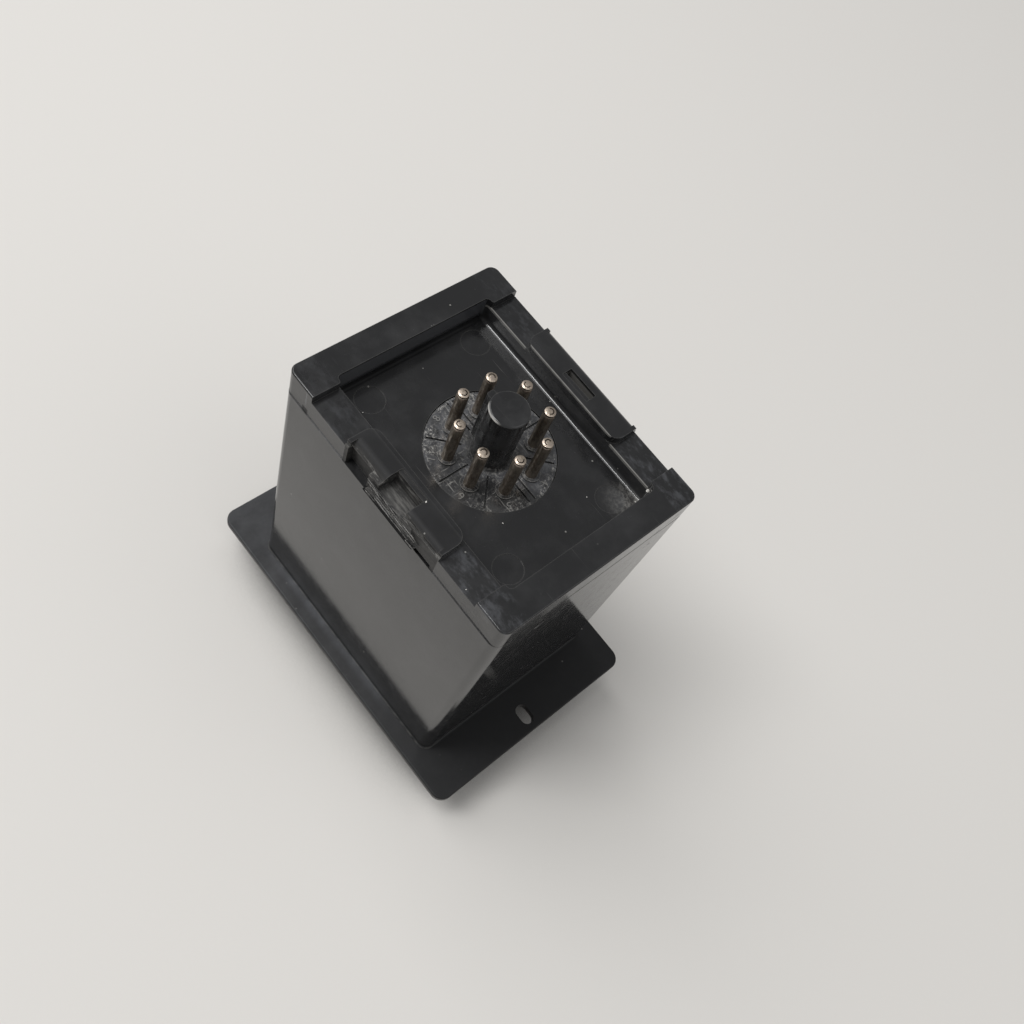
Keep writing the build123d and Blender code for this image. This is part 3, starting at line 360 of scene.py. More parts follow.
def cap_finish(colours):
    """The rear cap: dust in the recess's corners, scuffed ledges, pale streaks at the break."""
    finish = black_moulding("cap_black", colours, shiny=0.17, dull=0.3, haze=0.1)
    x, y, z = finish.x, finish.y, finish.z
    paint, clouds, fade, ramp = finish.paint, finish.clouds, finish.fade, finish.ramp
    between, both, either = finish.between, finish.both, finish.either
    across = finish.maths("ABSOLUTE", x)

    # The recess's far wall, with a painted highlight along its upper edge
    wall = both(ramp(y, RECESS_SIDE - 0.9, RECESS_SIDE - 0.3), ramp(z, LEDGE - 0.1, LEDGE - 0.3))
    paint(colours.haze, both(wall, 0.2))
    seated = ramp(across, SEAT_END - 0.4, SEAT_END - 1.0)
    open_edge = both(between(z, LEDGE - 0.5, LEDGE, 0.1), fade(seated, 0.0, 1.0, 1.0, 0.0))
    seat_edge = both(ramp(z, CAP_TOP - 0.5, CAP_TOP - 0.35), seated)
    # Painted highlight: a pale line in the dust colour along the far wall's upper edge, where its
    # rounded edge catches the light
    edge_highlight = both(between(y, RECESS_SIDE - 0.3, RECESS_SIDE + 0.2, 0.1),
                 either(open_edge, seat_edge),
                 fade(clouds(3, 4), 0.3, 0.5, 0.6, 1.0))
    paint(colours.dust, both(edge_highlight, 0.5))

    # The recess's end wall and its foot, and the slot of the whole clip seat
    end_wall = both(ramp(x, -RECESS_END + 0.3, -RECESS_END + 0.1),
                    ramp(z, CAP_TOP - 0.2, CAP_TOP - 0.6),
                    ramp(z, RECESS + 0.5, RECESS + 2.5),
                    ramp(x, -RECESS_END - 0.2, -RECESS_END - 0.1))
    paint(colours.film, both(end_wall, 0.6))
    end_foot = both(ramp(x, -RECESS_END + 1.1, -RECESS_END + 0.7),
                    ramp(z, RECESS + 1.1, RECESS + 0.7),
                    ramp(x, -RECESS_END - 1.0, -RECESS_END - 0.6))
    clip_slot = both(ramp(across, CLIP_SLOT_END + 0.1, CLIP_SLOT_END),
                     between(y, CAP_SIDE - 4.15, CAP_SIDE - 2.55, 0.05),
                     ramp(z, CAP_TOP - 0.4, CAP_TOP - 0.9))
    paint(colours.dust, both(clip_slot, 0.4))

    # Dust that has settled in the recess's far corner, and on the mark in its floor
    low = both(ramp(z, RECESS + 0.1, RECESS + 0.5, 1.0, 0.0),
               ramp(x, RECESS_END + 1.2, RECESS_END + 0.8),
               ramp(y, RECESS_SIDE + 0.7, RECESS_SIDE + 0.4))
    mottle = fade(clouds(0.9, 7, rough=0.75), 0.4, 0.66, 0.15, 1.0)
    corner = both(ramp(x, RECESS_END - 8.5, RECESS_END - 1.0),
                  ramp(y, RECESS_SIDE - 8.7, RECESS_SIDE - 1.7))
    paint(colours.dust, both(low, corner, mottle, 0.5))
    mark = both(ramp(z, RECESS - 0.04, RECESS - 0.1), corner)
    paint(colours.haze, both(mark, 0.5))

    # The ledges, smeared
    ledge = both(ramp(finish.maths("ABSOLUTE", y), RECESS_SIDE + 0.1, RECESS_SIDE + 0.8),
                 ramp(across, SEAT_END - 0.5, SEAT_END + 0.6),
                 ramp(z, LEDGE - 0.4, LEDGE - 0.1))
    smear = fade(clouds(2.2, 6, (2, 1, 1), (0, 0, 0.5), 0.7), 0.45, 0.66)
    sunny = ramp(x, -30, 15, 0.35, 1.0)
    paint(colours.film, both(ledge, smear, sunny, 0.42))

    # The broken clip seat: its rounded edge, the window torn in it and the leaning lip
    broken = both(ramp(y, -RECESS_SIDE - 0.2, -RECESS_SIDE - 1.4),
                  ramp(across, SEAT_END + 0.1, SEAT_END - 0.2))
    rounded = both(broken, ramp(z, CAP_TOP - 0.1, CAP_TOP - 0.9))
    grain = fade(clouds(1.0, 6, (3, 1, 1), rough=0.75), 0.3, 0.7, 0.25, 1.0)
    paint(colours.dust, both(rounded, grain, 0.12))
    ragged = fade(clouds(0.7, 6, (5, 1, 1), rough=0.8), 0.5, 0.6)
    torn_edge = both(broken, between(z, CAP_TOP - 1.6, CAP_TOP - 0.8, 0.15), ragged)
    paint(colours.dust, both(torn_edge, 0.45))
    window = both(broken, between(x, -3.5, 4.6, 0.4), ramp(z, CAP_TOP - 0.1, CAP_TOP - 0.3))
    streaks = fade(clouds(0.8, 6, (5, 1, 1), rough=0.75), 0.42, 0.68)
    paint(colours.dust, both(window, streaks, 0.3))
    lip = ramp(y, -CAP_SIDE + 0.05, -CAP_SIDE - 0.12)
    fibres = fade(clouds(0.28, 6, (18, 1, 1), (0, 0.06, 0), 0.75), 0.48, 0.62)
    paint(colours.torn, both(lip, fibres, 0.6))
    paint(colours.dust, both(lip, fibres, finish.edges(0.12), 0.5))
    ripple = fade(clouds(2.0, 5, rough=0.7), 0.3, 0.7, -0.45, 0.45)
    depth = finish.maths("ADD", z, finish.maths("MULTIPLY", ripple, MM))
    # The lip's foot is painted back to black with its shine taken off: the crack along it, and
    # painted shade for the shadow and dark reflection under the lip
    crack_and_shade = both(lip, ramp(depth, RECESS + 1.8, RECESS + 1.4))
    paint(colours.moulding, crack_and_shade)
    finish.dim(either(crack_and_shade, both(broken, 0.6), both(end_foot, 0.9)))

    paint(colours.dust, both(specks(finish, 2.1, 0.05), 0.6))
    foot = both(ramp(y, RECESS_SIDE - 1.6, RECESS_SIDE - 1.0), ramp(z, RECESS + 1.2, RECESS + 0.9))
    sheen = fade(clouds(9, 6), 0.4, 0.75, 0.24, 0.5)
    finish.blur(finish.maths("SUBTRACT", either(sheen, broken), foot), 0.05, 0.55)
    return finish.material


def plug_finish(colours):
    """The plug base: scratched and dusty between the pins, with a dust-free dark spigot top and a
    painted highlight on its edge.
    """
    finish = black_moulding("plug_black", colours, shiny=0.2, dull=0.4, haze=0.25)
    x, y, z, out = finish.x, finish.y, finish.z, finish.radius()
    paint, clouds, fade, ramp = finish.paint, finish.clouds, finish.fade, finish.ramp
    between, both = finish.between, finish.both
    disc = both(ramp(out, SPIGOT + 0.45, SPIGOT + 1.25), ramp(z, DISC + 1.0, DISC + 1.5, 1.0, 0.0))

    # Film and dirt on the disc, wiped away in the sector towards +X and -Y
    toward = finish.maths("SUBTRACT", finish.maths("MULTIPLY", x, 0.67),
                          finish.maths("MULTIPLY", y, 0.74))
    wiped = ramp(toward, 4.5, 8.5, 1.0, 0.05)
    veil = fade(clouds(2.4, 5, rough=0.7), 0.36, 0.66, 0.06, 0.6)
    paint(colours.film, both(disc, veil, wiped))
    dirt = fade(clouds(0.55, 8, rough=0.85), 0.5, 0.6)
    patch = fade(clouds(3.2, 3), 0.42, 0.6, 0.08, 1.0)
    rim = ramp(out, PLUG_RIM - 4.0, PLUG_RIM - 0.2, 0.5, 1.0)
    settled = both(disc, dirt, patch, rim, fade(wiped, 0.05, 1.0, 0.4, 1.0))
    paint(tone(colours.dust, 1.5), settled)
    digit = both(ramp(z, DISC + 0.03, DISC + 0.06), ramp(z, DISC + 0.19, DISC + 0.15),
                 ramp(out, NUMBER_RING - 1.3, NUMBER_RING - 1.15),
                 ramp(out, NUMBER_RING + 1.15, NUMBER_RING + 0.95))
    paint(colours.dust, both(digit, 0.35))
    hair = finish.either(fade(clouds(0.3, 2, (18, 1, 1), (0, 0, 0.9)), 0.64, 0.7),
                         fade(clouds(0.3, 2, (1, 16, 1), (0, 0, 0.4)), 0.64, 0.7))
    paint(colours.dust, both(disc, hair, 0.5))

    # Worn edges: the pins' collars and the key; and a painted highlight on an arc of the spigot's
    # top
    collar = both(between(z, DISC + 0.25, DISC + 0.55, 0.08), finish.edges(0.25), disc)
    paint(colours.dust, both(collar, 0.6))
    key_edge = both(finish.edges(0.25), ramp(out, SPIGOT - 0.05, SPIGOT + 0.2),
                    ramp(out, SPIGOT + 2.45, SPIGOT + 2.05),
                    between(z, DISC + 2.4, DISC + 9.8, 1.0))
    paint(colours.dust, both(key_edge, 0.7))
    # Painted highlight: a pale arc on the spigot's top edge towards -X and -Y, standing for the
    # glint of the light on the rounded edge
    arc = both(between(z, SPIGOT_TOP - 0.38, SPIGOT_TOP - 0.14, 0.06),
               ramp(out, SPIGOT - 0.65, SPIGOT - 0.35), ramp(y, -1.9, -2.9), ramp(x, 1.8, 0.4))
    paint(tone(colours.dust, 1.8), both(arc, 0.6))

    groove = ramp(z, DISC - 0.05, DISC - 0.15)
    paint(colours.moulding, both(groove, 0.9))
    foot = both(ramp(z, DISC + 5.3, DISC + 0.8), ramp(out, SPIGOT + 1.65, SPIGOT + 1.05))
    paint(colours.dust, both(foot, dirt, 0.35))
    worn = fade(clouds(2.0, 4), 0.35, 0.7, 0.3, 1.0)
    finish.blur(both(worn, ramp(z, SPIGOT_TOP - 1.0, SPIGOT_TOP - 3.0)), 0.07, 0.45)
    return finish.material


def pin_finish(colours):
    """A pin: plated shank with brown tarnish that thins towards the tip."""
    finish = Finish("pin_metal", colours.pin, 0.3, 1.0)
    stain = finish.fade(finish.clouds(0.9, 6, (1, 1, 3), rough=0.7), 0.36, 0.64)
    tip = finish.ramp(finish.z, PIN_TOP - 2.3, PIN_TOP - 0.7, 1.0, 0.25)
    finish.paint(colours.tarnish, finish.both(stain, tip, 0.85))
    finish.paint(colours.solder, finish.ramp(finish.z, PIN_TOP - 1.1, PIN_TOP - 0.5, 0.0, 0.8))
    finish.paint(colours.oxide, finish.ramp(finish.z, PIN_TOP - 0.14, PIN_TOP - 0.08))
    finish.blur(stain, 0.3, 0.55)
    finish.relief(finish.clouds(0.35, 3, (1, 1, 4)), 0.02)
    return finish.material


def solder_finish(colours):
    """Solder: a frosted skin with brown and tarnished patches, and painted shade: near black in the
    slit and on the bead's side below the pin's tip.
    """
    finish = Finish("solder", colours.solder, 0.4, 1.0)
    skin = finish.clouds(0.4, 5)
    finish.paint(colours.pin, finish.fade(skin, 0.38, 0.56, 0.2, 0.85))
    finish.paint(colours.tarnish, finish.fade(skin, 0.5, 0.66, 0.0, 0.8))
    # Painted shade: everything below the pin's tip is painted near black, for the shade in the slit
    finish.paint(colours.slit, finish.ramp(finish.z, PIN_TOP, PIN_TOP - 0.1, 0.0, 0.9))
    finish.blur(finish.fade(skin, 0.4, 0.7), 0.36, 0.6)
    finish.relief(finish.clouds(0.5, 2), 0.06)
    return finish.material


def torn_finish(colours):
    """Torn plastic fibres, paler along their lifted edges."""
    finish = Finish("torn_plastic", colours.moulding, 0.45)
    grain = finish.clouds(0.3, 6, (14, 1, 1), rough=0.7)
    finish.paint(colours.torn, finish.fade(grain, 0.5, 0.64, 0.0, 0.9))
    finish.dim(finish.fade(grain, 0.6, 0.45), 0.1)
    finish.paint(colours.dust, finish.both(finish.edges(0.08), finish.fade(grain, 0.4, 0.55)))
    finish.relief(grain, 0.05)
    return finish.material


def metal(name, tint, roughness, grain=0.6, stretch=(1.0, 1.0, 1.0)):
    """Turned, rolled or plated metal with a drawn grain."""
    finish = Finish(name, tint, roughness, 1.0)
    pattern = finish.clouds(grain, 4, stretch)
    finish.paint(tone(tint, 0.55), finish.fade(pattern, 0.45, 0.75, 0.0, 0.6))
    finish.blur(finish.fade(pattern, 0.35, 0.7), roughness * 0.8, roughness * 1.5)
    finish.relief(pattern, 0.01)
    return finish.material


def plastic(name, tint, roughness, shade=0.75, **sockets):
    """Coloured plastic or coating with a fine skin and soft changes of tone."""
    finish = Finish(name, tint, roughness, **sockets)
    cloud = finish.clouds(6, 4)
    finish.paint(tone(tint, shade), finish.fade(cloud, 0.4, 0.7, 0.0, 0.7))
    finish.blur(finish.fade(cloud, 0.35, 0.7), roughness * 0.85, min(1.0, roughness * 1.3))
    finish.relief(finish.clouds(0.3, 3), 0.008)
    return finish


def board_finish(colours):
    """Circuit board: green laminate with a faint weave."""
    finish = plastic("board_green", colours.board, 0.35)
    weave = finish.node("ShaderNodeTexChecker", {"Vector": finish.where, "Scale": 1600.0})
    finish.relief(weave.outputs["Fac"], 0.005)
    return finish.material


def winding_finish(colours):
    """Copper turns laid side by side."""
    finish = Finish("winding_copper", colours.copper, 0.3, 0.8)
    wave = finish.node("ShaderNodeTexWave", {"Vector": finish.where, "Scale": 900.0,
                                             "Distortion": 0.4}, bands_direction="Z")
    turns = wave.outputs["Fac"]
    finish.paint(tone(colours.copper, 0.3), finish.fade(turns, 0.2, 0.8, 0.8, 0.0))
    finish.relief(turns, 0.1)
    return finish.material


def core_finish(colours):
    """Varnished laminations, stacked across the core."""
    finish = Finish("core_steel", tone(colours.steel, 0.5), 0.42, 0.9)
    sheets = finish.node("ShaderNodeTexWave", {"Vector": finish.where, "Scale": 320.0},
                         bands_direction="Y").outputs["Fac"]
    finish.paint(colours.varnish, finish.fade(sheets, 0.0, 0.3, 0.9, 0.0))
    finish.relief(sheets, 0.04)
    return finish.material


def dress(material, *nodes):
    """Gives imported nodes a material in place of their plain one."""
    for name in nodes:
        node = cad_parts[name]
        if not node.material_slots:
            node.data.materials.append(material)
        for slot in node.material_slots:
            slot.material = material


def clear_selection():
    """Nothing selected, and no edit mode."""
    if bpy.context.object and bpy.context.object.mode != "OBJECT":
        bpy.ops.object.mode_set(mode="OBJECT")
    bpy.ops.object.select_all(action="DESELECT")


def pick_faces(test):
    """In edit mode, selects the faces whose centre and normal pass a test."""
    data = bpy.context.object.data
    mesh = bmesh.from_edit_mesh(data)
    bpy.ops.mesh.select_mode(type="FACE")
    for face in mesh.faces:
        face.select_set(bool(test(face.calc_center_median(), face.normal)))
    bmesh.update_edit_mesh(data)


def close_up():
    """Merges doubles, turns every face outwards and leaves edit mode."""
    bpy.ops.mesh.select_all(action="SELECT")
    bpy.ops.mesh.remove_doubles(threshold=0.001 * MM)
    bpy.ops.mesh.normals_make_consistent(inside=False)
    bpy.ops.object.mode_set(mode="OBJECT")


def apply_place():
    """Puts the active piece's place, turn and size in its mesh."""
    bpy.ops.object.transform_apply(location=True, rotation=True, scale=True)


def on_ring(reach, turn, level):
    """A place at a distance and an angle from the plug's axis."""
    return (reach * math.cos(turn), reach * math.sin(turn), level)


def settle(name, material, body=HOUSING, angle=35):
    """Puts the piece's place in its mesh, and gives it its name, finish and body."""
    piece = bpy.context.object
    apply_place()
    bpy.ops.object.shade_smooth_by_angle(angle=math.radians(angle))
    piece.name = name
    piece.data.name = name
    piece.data.materials.clear()
    piece.data.materials.append(material)
    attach(piece, body)
    return piece


def copy_piece(source, place, turn=(0.0, 0.0, 0.0), size=1.0):
    """A copy with its own mesh, moved from the origin to its place."""
    clear_selection()
    source.select_set(True)
    bpy.context.view_layer.objects.active = source
    bpy.ops.object.duplicate(linked=False)
    piece = bpy.context.object
    piece.location = place
    piece.rotation_euler = turn
    piece.scale = (size, size, size)
    apply_place()
    return piece


def join_pieces(pieces):
    """Makes one active piece of several."""
    clear_selection()
    for piece in pieces:
        piece.select_set(True)
    bpy.context.view_layer.objects.active = pieces[0]
    bpy.ops.object.join()


def drop(piece):
    """Deletes a pattern piece after its copies are made."""
    clear_selection()
    piece.select_set(True)
    bpy.ops.object.delete()


def numeral(text, height, relief, place, turn):
    """A raised number as a closed mesh, standing half its thickness out of its face."""
    clear_selection()
    bpy.ops.object.text_add(location=place, rotation=turn)
    words = bpy.context.object.data
    words.body = text
    words.size = height / CAPITAL_SHARE
    words.extrude = relief
    words.align_x = "CENTER"
    words.align_y = "CENTER"
    words.resolution_u = 4
    bpy.ops.object.convert(target="MESH")
    bpy.ops.object.mode_set(mode="EDIT")
    close_up()
    apply_place()
    return bpy.context.object


class RELAY_OT_finish_case(bpy.types.Operator):
    """Give the case and the front panel their black moulding"""

    bl_idname = "relay.finish_case"
    bl_label = "Finish the case"

    def execute(self, context):
        dress(case_finish(context.scene.relay_colours), "case", "front_panel")
        return {"FINISHED"}


class RELAY_OT_finish_cap(bpy.types.Operator):
    """Give the rear cap its dusty, scuffed moulding"""

    bl_idname = "relay.finish_cap"
    bl_label = "Finish the rear cap"

    def execute(self, context):
        dress(cap_finish(context.scene.relay_colours), "rear_cap")
        return {"FINISHED"}


class RELAY_OT_finish_plug(bpy.types.Operator):
    """Give the plug base and its pins their finishes"""

    bl_idname = "relay.finish_plug"
    bl_label = "Finish the plug"

    def execute(self, context):
        colours = context.scene.relay_colours
        dress(plug_finish(colours), "plug_base")
        dress(pin_finish(colours), *(f"contact_pin_{index}" for index in PINS))
        return {"FINISHED"}


class RELAY_OT_finish_front(bpy.types.Operator):
    """Give the scale plate, the knob, the lamps and the nut their finishes"""

    bl_idname = "relay.finish_front"
    bl_label = "Finish the front"

    def execute(self, context):
        colours = context.scene.relay_colours
        dress(plastic("scale_plate_grey", colours.plate, 0.45, 0.9).material, "dial_plate")
        dress(black_moulding("knob_black", colours, 0.35, 0.5, 0.4).material, "setting_knob")
        dress(plastic("knob_cap_grey", colours.knob_cap, 0.4).material, "knob_cap")
        dress(metal("brass", colours.brass, 0.28, 0.5, (1, 1, 4)), "potentiometer_nut",
              "potentiometer_shaft")
        dress(metal("zinc_steel", colours.steel, 0.32), "lock_washer", "potentiometer_body",
              "board_screws")
        for name, tint in (("power_lamp_lens", colours.green_lens),
                           ("output_lamp_lens", colours.red_lens)):
            lens = plastic(f"{name}_glaze", tint, 0.12, 0.7, Transmission_Weight=0.55, IOR=1.49)
            dress(lens.material, name)
        return {"FINISHED"}


class RELAY_OT_finish_works(bpy.types.Operator):
    """Give the parts inside the case their finishes"""

    bl_idname = "relay.finish_works"
    bl_label = "Finish the works"

    def execute(self, context):
        colours = context.scene.relay_colours
        dress(board_finish(colours), "front_board", "main_board")
        dress(core_finish(colours), "transformer_core")
        dress(winding_finish(colours), "transformer_coil")
        dress(plastic("phenolic", colours.phenolic, 0.5).material, "potentiometer_track")
        dress(plastic("nylon", colours.nylon, 0.45).material, "potentiometer_wiper", "board_link")
        dress(plastic("relay_blue", colours.relay_blue, 0.4).material, "output_relay")
        dress(plastic("sleeve_blue", colours.sleeve, 0.22).material, "smoothing_capacitor")
        dress(plastic("film_box", colours.film_box, 0.35).material, "timing_capacitor")
        dress(plastic("ceramic_blue", colours.relay_blue, 0.25, 1.3).material, "surge_absorber")
        dress(plastic("package_black", colours.moulding, 0.45).material, "timer_chip",
              "rectifier", "driver_transistor")
        clear = plastic("diode_resin", colours.nylon, 0.1, Transmission_Weight=0.7, IOR=1.5)
        dress(clear.material, "power_lamp_diode", "output_lamp_diode")
        dress(plastic("wire_red", colours.wire, 0.4).material,
              *(f"lead_wire_{index}" for index in PINS))
        return {"FINISHED"}


# Steps in a solder bead's top, from its rim inwards: width and rise in millimetres.
# The slit is cut in the third.
BEAD_STEPS = ((0.22, 0.1), (0.16, 0.05), (0.22, 0.0), (0.2, 0.03))
BEAD_SINK = 0.02 * MM
BEAD_TURN = 2.4  # radians from one pin's slit to the next
BEAD_SHRINK = 0.02  # how much smaller a bead is than the one before, in each row of three


class RELAY_OT_solder_tips(bpy.types.Operator):
    """Put a solder bead with a curved slit on each pin"""

    bl_idname = "relay.solder_tips"
    bl_label = "Solder the pins' tips"

    def execute(self, context):
        sizes = context.scene.relay_sizes
        radius = sizes.solder_radius
        clear_selection()
        bpy.ops.mesh.primitive_cylinder_add(
            vertices=24, radius=radius, depth=sizes.solder_height,
            location=(0, 0, sizes.solder_rise - sizes.solder_height / 2))
        bpy.ops.object.mode_set(mode="EDIT")
        pick_faces(lambda centre, normal: normal.z > 0.9)
        for width, rise in BEAD_STEPS:
            bpy.ops.mesh.inset(thickness=width * MM, depth=rise * MM)
        slit_outer, slit_inner = (radius - sum(width for width, rise in BEAD_STEPS[:count]) * MM
                                  for count in (2, 3))
        pick_faces(lambda centre, normal: slit_inner < centre.xy.length < slit_outer
                   and centre.z > 0 and centre.x > -0.2 * radius)
        bpy.ops.mesh.extrude_region_move(
            TRANSFORM_OT_translate={"value": (0, 0, -sizes.slit_depth)})
        close_up()
        pattern = settle("solder_pattern", solder_finish(context.scene.relay_colours))
        for index in PINS:
            centre = pin_centre(index)
            place = (centre.x, centre.y, pin_tip - BEAD_SINK)
            copy_piece(pattern, place, (0, 0, index * BEAD_TURN), 1 - BEAD_SHRINK * (index % 3))
            settle(f"solder_tip_{index}", pattern.data.materials[0])
        drop(pattern)
        return {"FINISHED"}


class RELAY_OT_pin_numbers(bpy.types.Operator):
    """Raise the pin numbers on the plug's disc"""

    bl_idname = "relay.pin_numbers"
    bl_label = "Raise the pin numbers"

    def execute(self, context):
        sizes = context.scene.relay_sizes
        material = bpy.data.materials["plug_black"]
        for index in PINS:
            centre = pin_centre(index)
            turn = math.atan2(centre.y, centre.x)
            numeral(str(index), sizes.pin_number_height, sizes.pin_number_relief,
                    on_ring(NUMBER_RING * MM, turn, disc_level), (0, 0, turn - math.pi / 2))
            settle(f"pin_number_{index}", material, angle=20)
        return {"FINISHED"}


class RELAY_OT_scale(bpy.types.Operator):
    """Print the scale's ticks, arc and numbers on the plate"""

    bl_idname = "relay.scale"
    bl_label = "Print the scale"

    def execute(self, context):
        sizes = context.scene.relay_sizes
        ink = plastic("scale_ink", context.scene.relay_colours.ink, 0.4).material
        first = -sizes.scale_sweep / 2
        step = sizes.scale_sweep / sizes.scale_steps
        thick = sizes.ink_thickness

        # A tick is a copy of one bevelled block
        clear_selection()
        bpy.ops.mesh.primitive_cube_add(size=1)
        bpy.ops.object.mode_set(mode="EDIT")
        pick_faces(lambda centre, normal: abs(normal.x) > 0.9)
        bpy.ops.mesh.bevel(offset=0.1, segments=2, affect="EDGES")
        close_up()
        pattern = bpy.context.object
        ticks = []
        for index in range(2 * sizes.scale_steps + 1):
            length, width = sizes.tick_length, sizes.tick_width
            if index % 2:
                length, width = length * sizes.half_tick_share, sizes.half_tick_width
            turn = first + index * step / 2
            tick = copy_piece(pattern, (0, 0, 0))
            tick.scale = (length, width, 2 * thick)
            tick.rotation_euler = (0, 0, turn)
            tick.location = on_ring(sizes.tick_radius + length / 2, turn, dial_level)
            apply_place()
            ticks.append(tick)
        drop(pattern)
        join_pieces(ticks)
        settle("scale_ticks", ink)

        # The arc is a small upright plane spun clockwise round the shaft, so that its gap lies a
        # quarter turn from the gap in the ticks
        clear_selection()
        bpy.ops.mesh.primitive_plane_add(
            size=1, location=(sizes.tick_radius - sizes.arc_width, 0, dial_level),
            rotation=(math.pi / 2, 0, 0))
        bpy.context.object.scale = (sizes.arc_width, 2 * thick, 1)
        apply_place()
        bpy.ops.object.mode_set(mode="EDIT")
        bpy.ops.mesh.select_all(action="SELECT")
        bpy.ops.mesh.spin(steps=90, angle=sizes.scale_sweep, center=(0, 0, 0), axis=(0, 0, 1))
        close_up()
        bpy.context.object.rotation_euler = (0, 0, first)
        settle("scale_arc", ink)

        reach = sizes.tick_radius + sizes.tick_length + sizes.number_gap
        numbers = [numeral(str(index), sizes.dial_number_height, thick,
                           on_ring(reach, first + index * step, dial_level),
                           (math.pi, 0, math.pi / 2))
                   for index in range(sizes.scale_steps + 1)]
        join_pieces(numbers)
        settle("scale_numbers", ink)
        return {"FINISHED"}


# The pointer's white fill: where its middle lies behind the knob's face, its thickness, and the
# width and height of the bevel round its outer face
POINTER_SINK = 0.25 * MM
POINTER_DEPTH = 0.3 * MM
POINTER_RIM = 0.25 * MM
POINTER_CROWN = 0.05 * MM


class RELAY_OT_pointer(bpy.types.Operator):
    """Fill the pointer groove in the knob's cap with white"""

    bl_idname = "relay.pointer"
    bl_label = "Fill the pointer"

    def execute(self, context):
        sizes = context.scene.relay_sizes
        white = plastic("pointer_white", context.scene.relay_colours.pointer, 0.4).material
        clear_selection()
        middle = sizes.pointer_start + sizes.pointer_length / 2
        bpy.ops.mesh.primitive_cube_add(
            size=1, location=(middle, 0, knob_face + POINTER_SINK),
            scale=(sizes.pointer_length, sizes.pointer_width, POINTER_DEPTH))
        apply_place()
        bpy.ops.object.mode_set(mode="EDIT")
        pick_faces(lambda centre, normal: normal.z < -0.9)
        bpy.ops.mesh.inset(thickness=POINTER_RIM, depth=POINTER_CROWN)
        close_up()
        bpy.context.object.rotation_euler = (0, 0, -sizes.scale_sweep / 2)
        settle("pointer_fill", white, DIAL)
        return {"FINISHED"}


# Strips on the torn lip: start along the edge, length, level and thickness in millimetres, and tilt
TORN_STRIPS = (
    (-6.1, 5.0, 72.1, 0.24, 0.03),
    (-5.7, 8.2, 71.5, 0.2, 0.05),
    (-4.4, 7.0, 70.8, 0.26, 0.02),
    (-1.2, 6.6, 71.9, 0.22, 0.06),
    (0.6, 7.2, 71.1, 0.22, 0.04),
    (-3.0, 9.6, 70.2, 0.22, 0.01),
    (3.4, 4.6, 71.7, 0.18, 0.07),
    (4.8, 3.6, 70.4, 0.22, -0.02),
    (-5.4, 3.4, 69.7, 0.18, -0.03),
    (6.2, 2.2, 69.7, 0.18, -0.05),
)
# The lip's face: level of its top, distance from the plug's axis there, and slope
LIP_TOP = 72.9
LIP_SIDE = CAP_SIDE + 0.12
LIP_SLOPE = 0.27
STRIP_DEPTH = 1.5  # a strip's depth beside its thickness
STRIP_END = 0.3  # the thickness of its ends beside its middle
STRIP_STRAY = 0.07 * MM


class RELAY_OT_torn_strips(bpy.types.Operator):
    """Lay torn plastic strips along the lip of the broken clip seat"""

    bl_idname = "relay.torn_strips"
    bl_label = "Tear the broken seat"

    def execute(self, context):
        material = torn_finish(context.scene.relay_colours)
        for number, (start, length, level, thick, tilt) in enumerate(TORN_STRIPS, 1):
            out = LIP_SIDE + LIP_SLOPE * (LIP_TOP - level)
            clear_selection()
            bpy.ops.mesh.primitive_cube_add(
                size=1, location=((start + length / 2) * MM, -out * MM, level * MM),
                rotation=(LIP_SLOPE, tilt, 0.0),
                scale=(length * MM, thick * MM, STRIP_DEPTH * thick * MM))
            bpy.ops.object.transform_apply(location=False, rotation=False, scale=True)
            bpy.ops.object.mode_set(mode="EDIT")
            bpy.ops.mesh.select_all(action="SELECT")
            bpy.ops.mesh.subdivide(number_cuts=4)
            for side in (-1, 1):
                pick_faces(lambda centre, normal: side * normal.x > 0.9)
                bpy.ops.transform.resize(value=(1, STRIP_END, STRIP_END))
            bpy.ops.mesh.select_all(action="SELECT")
            bpy.ops.transform.vertex_random(offset=STRIP_STRAY, seed=number)
            close_up()
            settle(f"torn_strip_{number}", material, angle=25)
        return {"FINISHED"}


# Crumbs and flash: place along and across, level of the surface, size, all in millimetres
CRUMBS = (
    (24.2, 17.9, 72.4, 0.7),
    (23.9, 16.9, 68.5, 0.3),
    (3.8, -20.0, 74.3, 0.42),
    (13.1, -8.0, 68.5, 0.24),
    (23.3, -21.1, 72.7, 0.22),
    (5.1, -22.3, 72.7, 0.2),
    (-11.0, 24.1, 73.2, 0.3),
    (11.3, 24.2, 73.2, 0.34),
    (12.4, 24.0, 72.7, 0.28),
    (20.2, -23.7, 72.7, 0.2),
    (17.8, 9.3, 68.5, 0.22),
    (-19.0, -15.8, 68.5, 0.18),
)
CRUMB_SHAPE = (1.25, 0.85, 0.7)
CRUMB_LIFT = 0.3  # from the surface to a crumb's middle, beside its size
CRUMB_STRAY = 0.16  # how far its corners stray, beside its size
CRUMB_TURN = 1.7  # radians from one crumb to the next


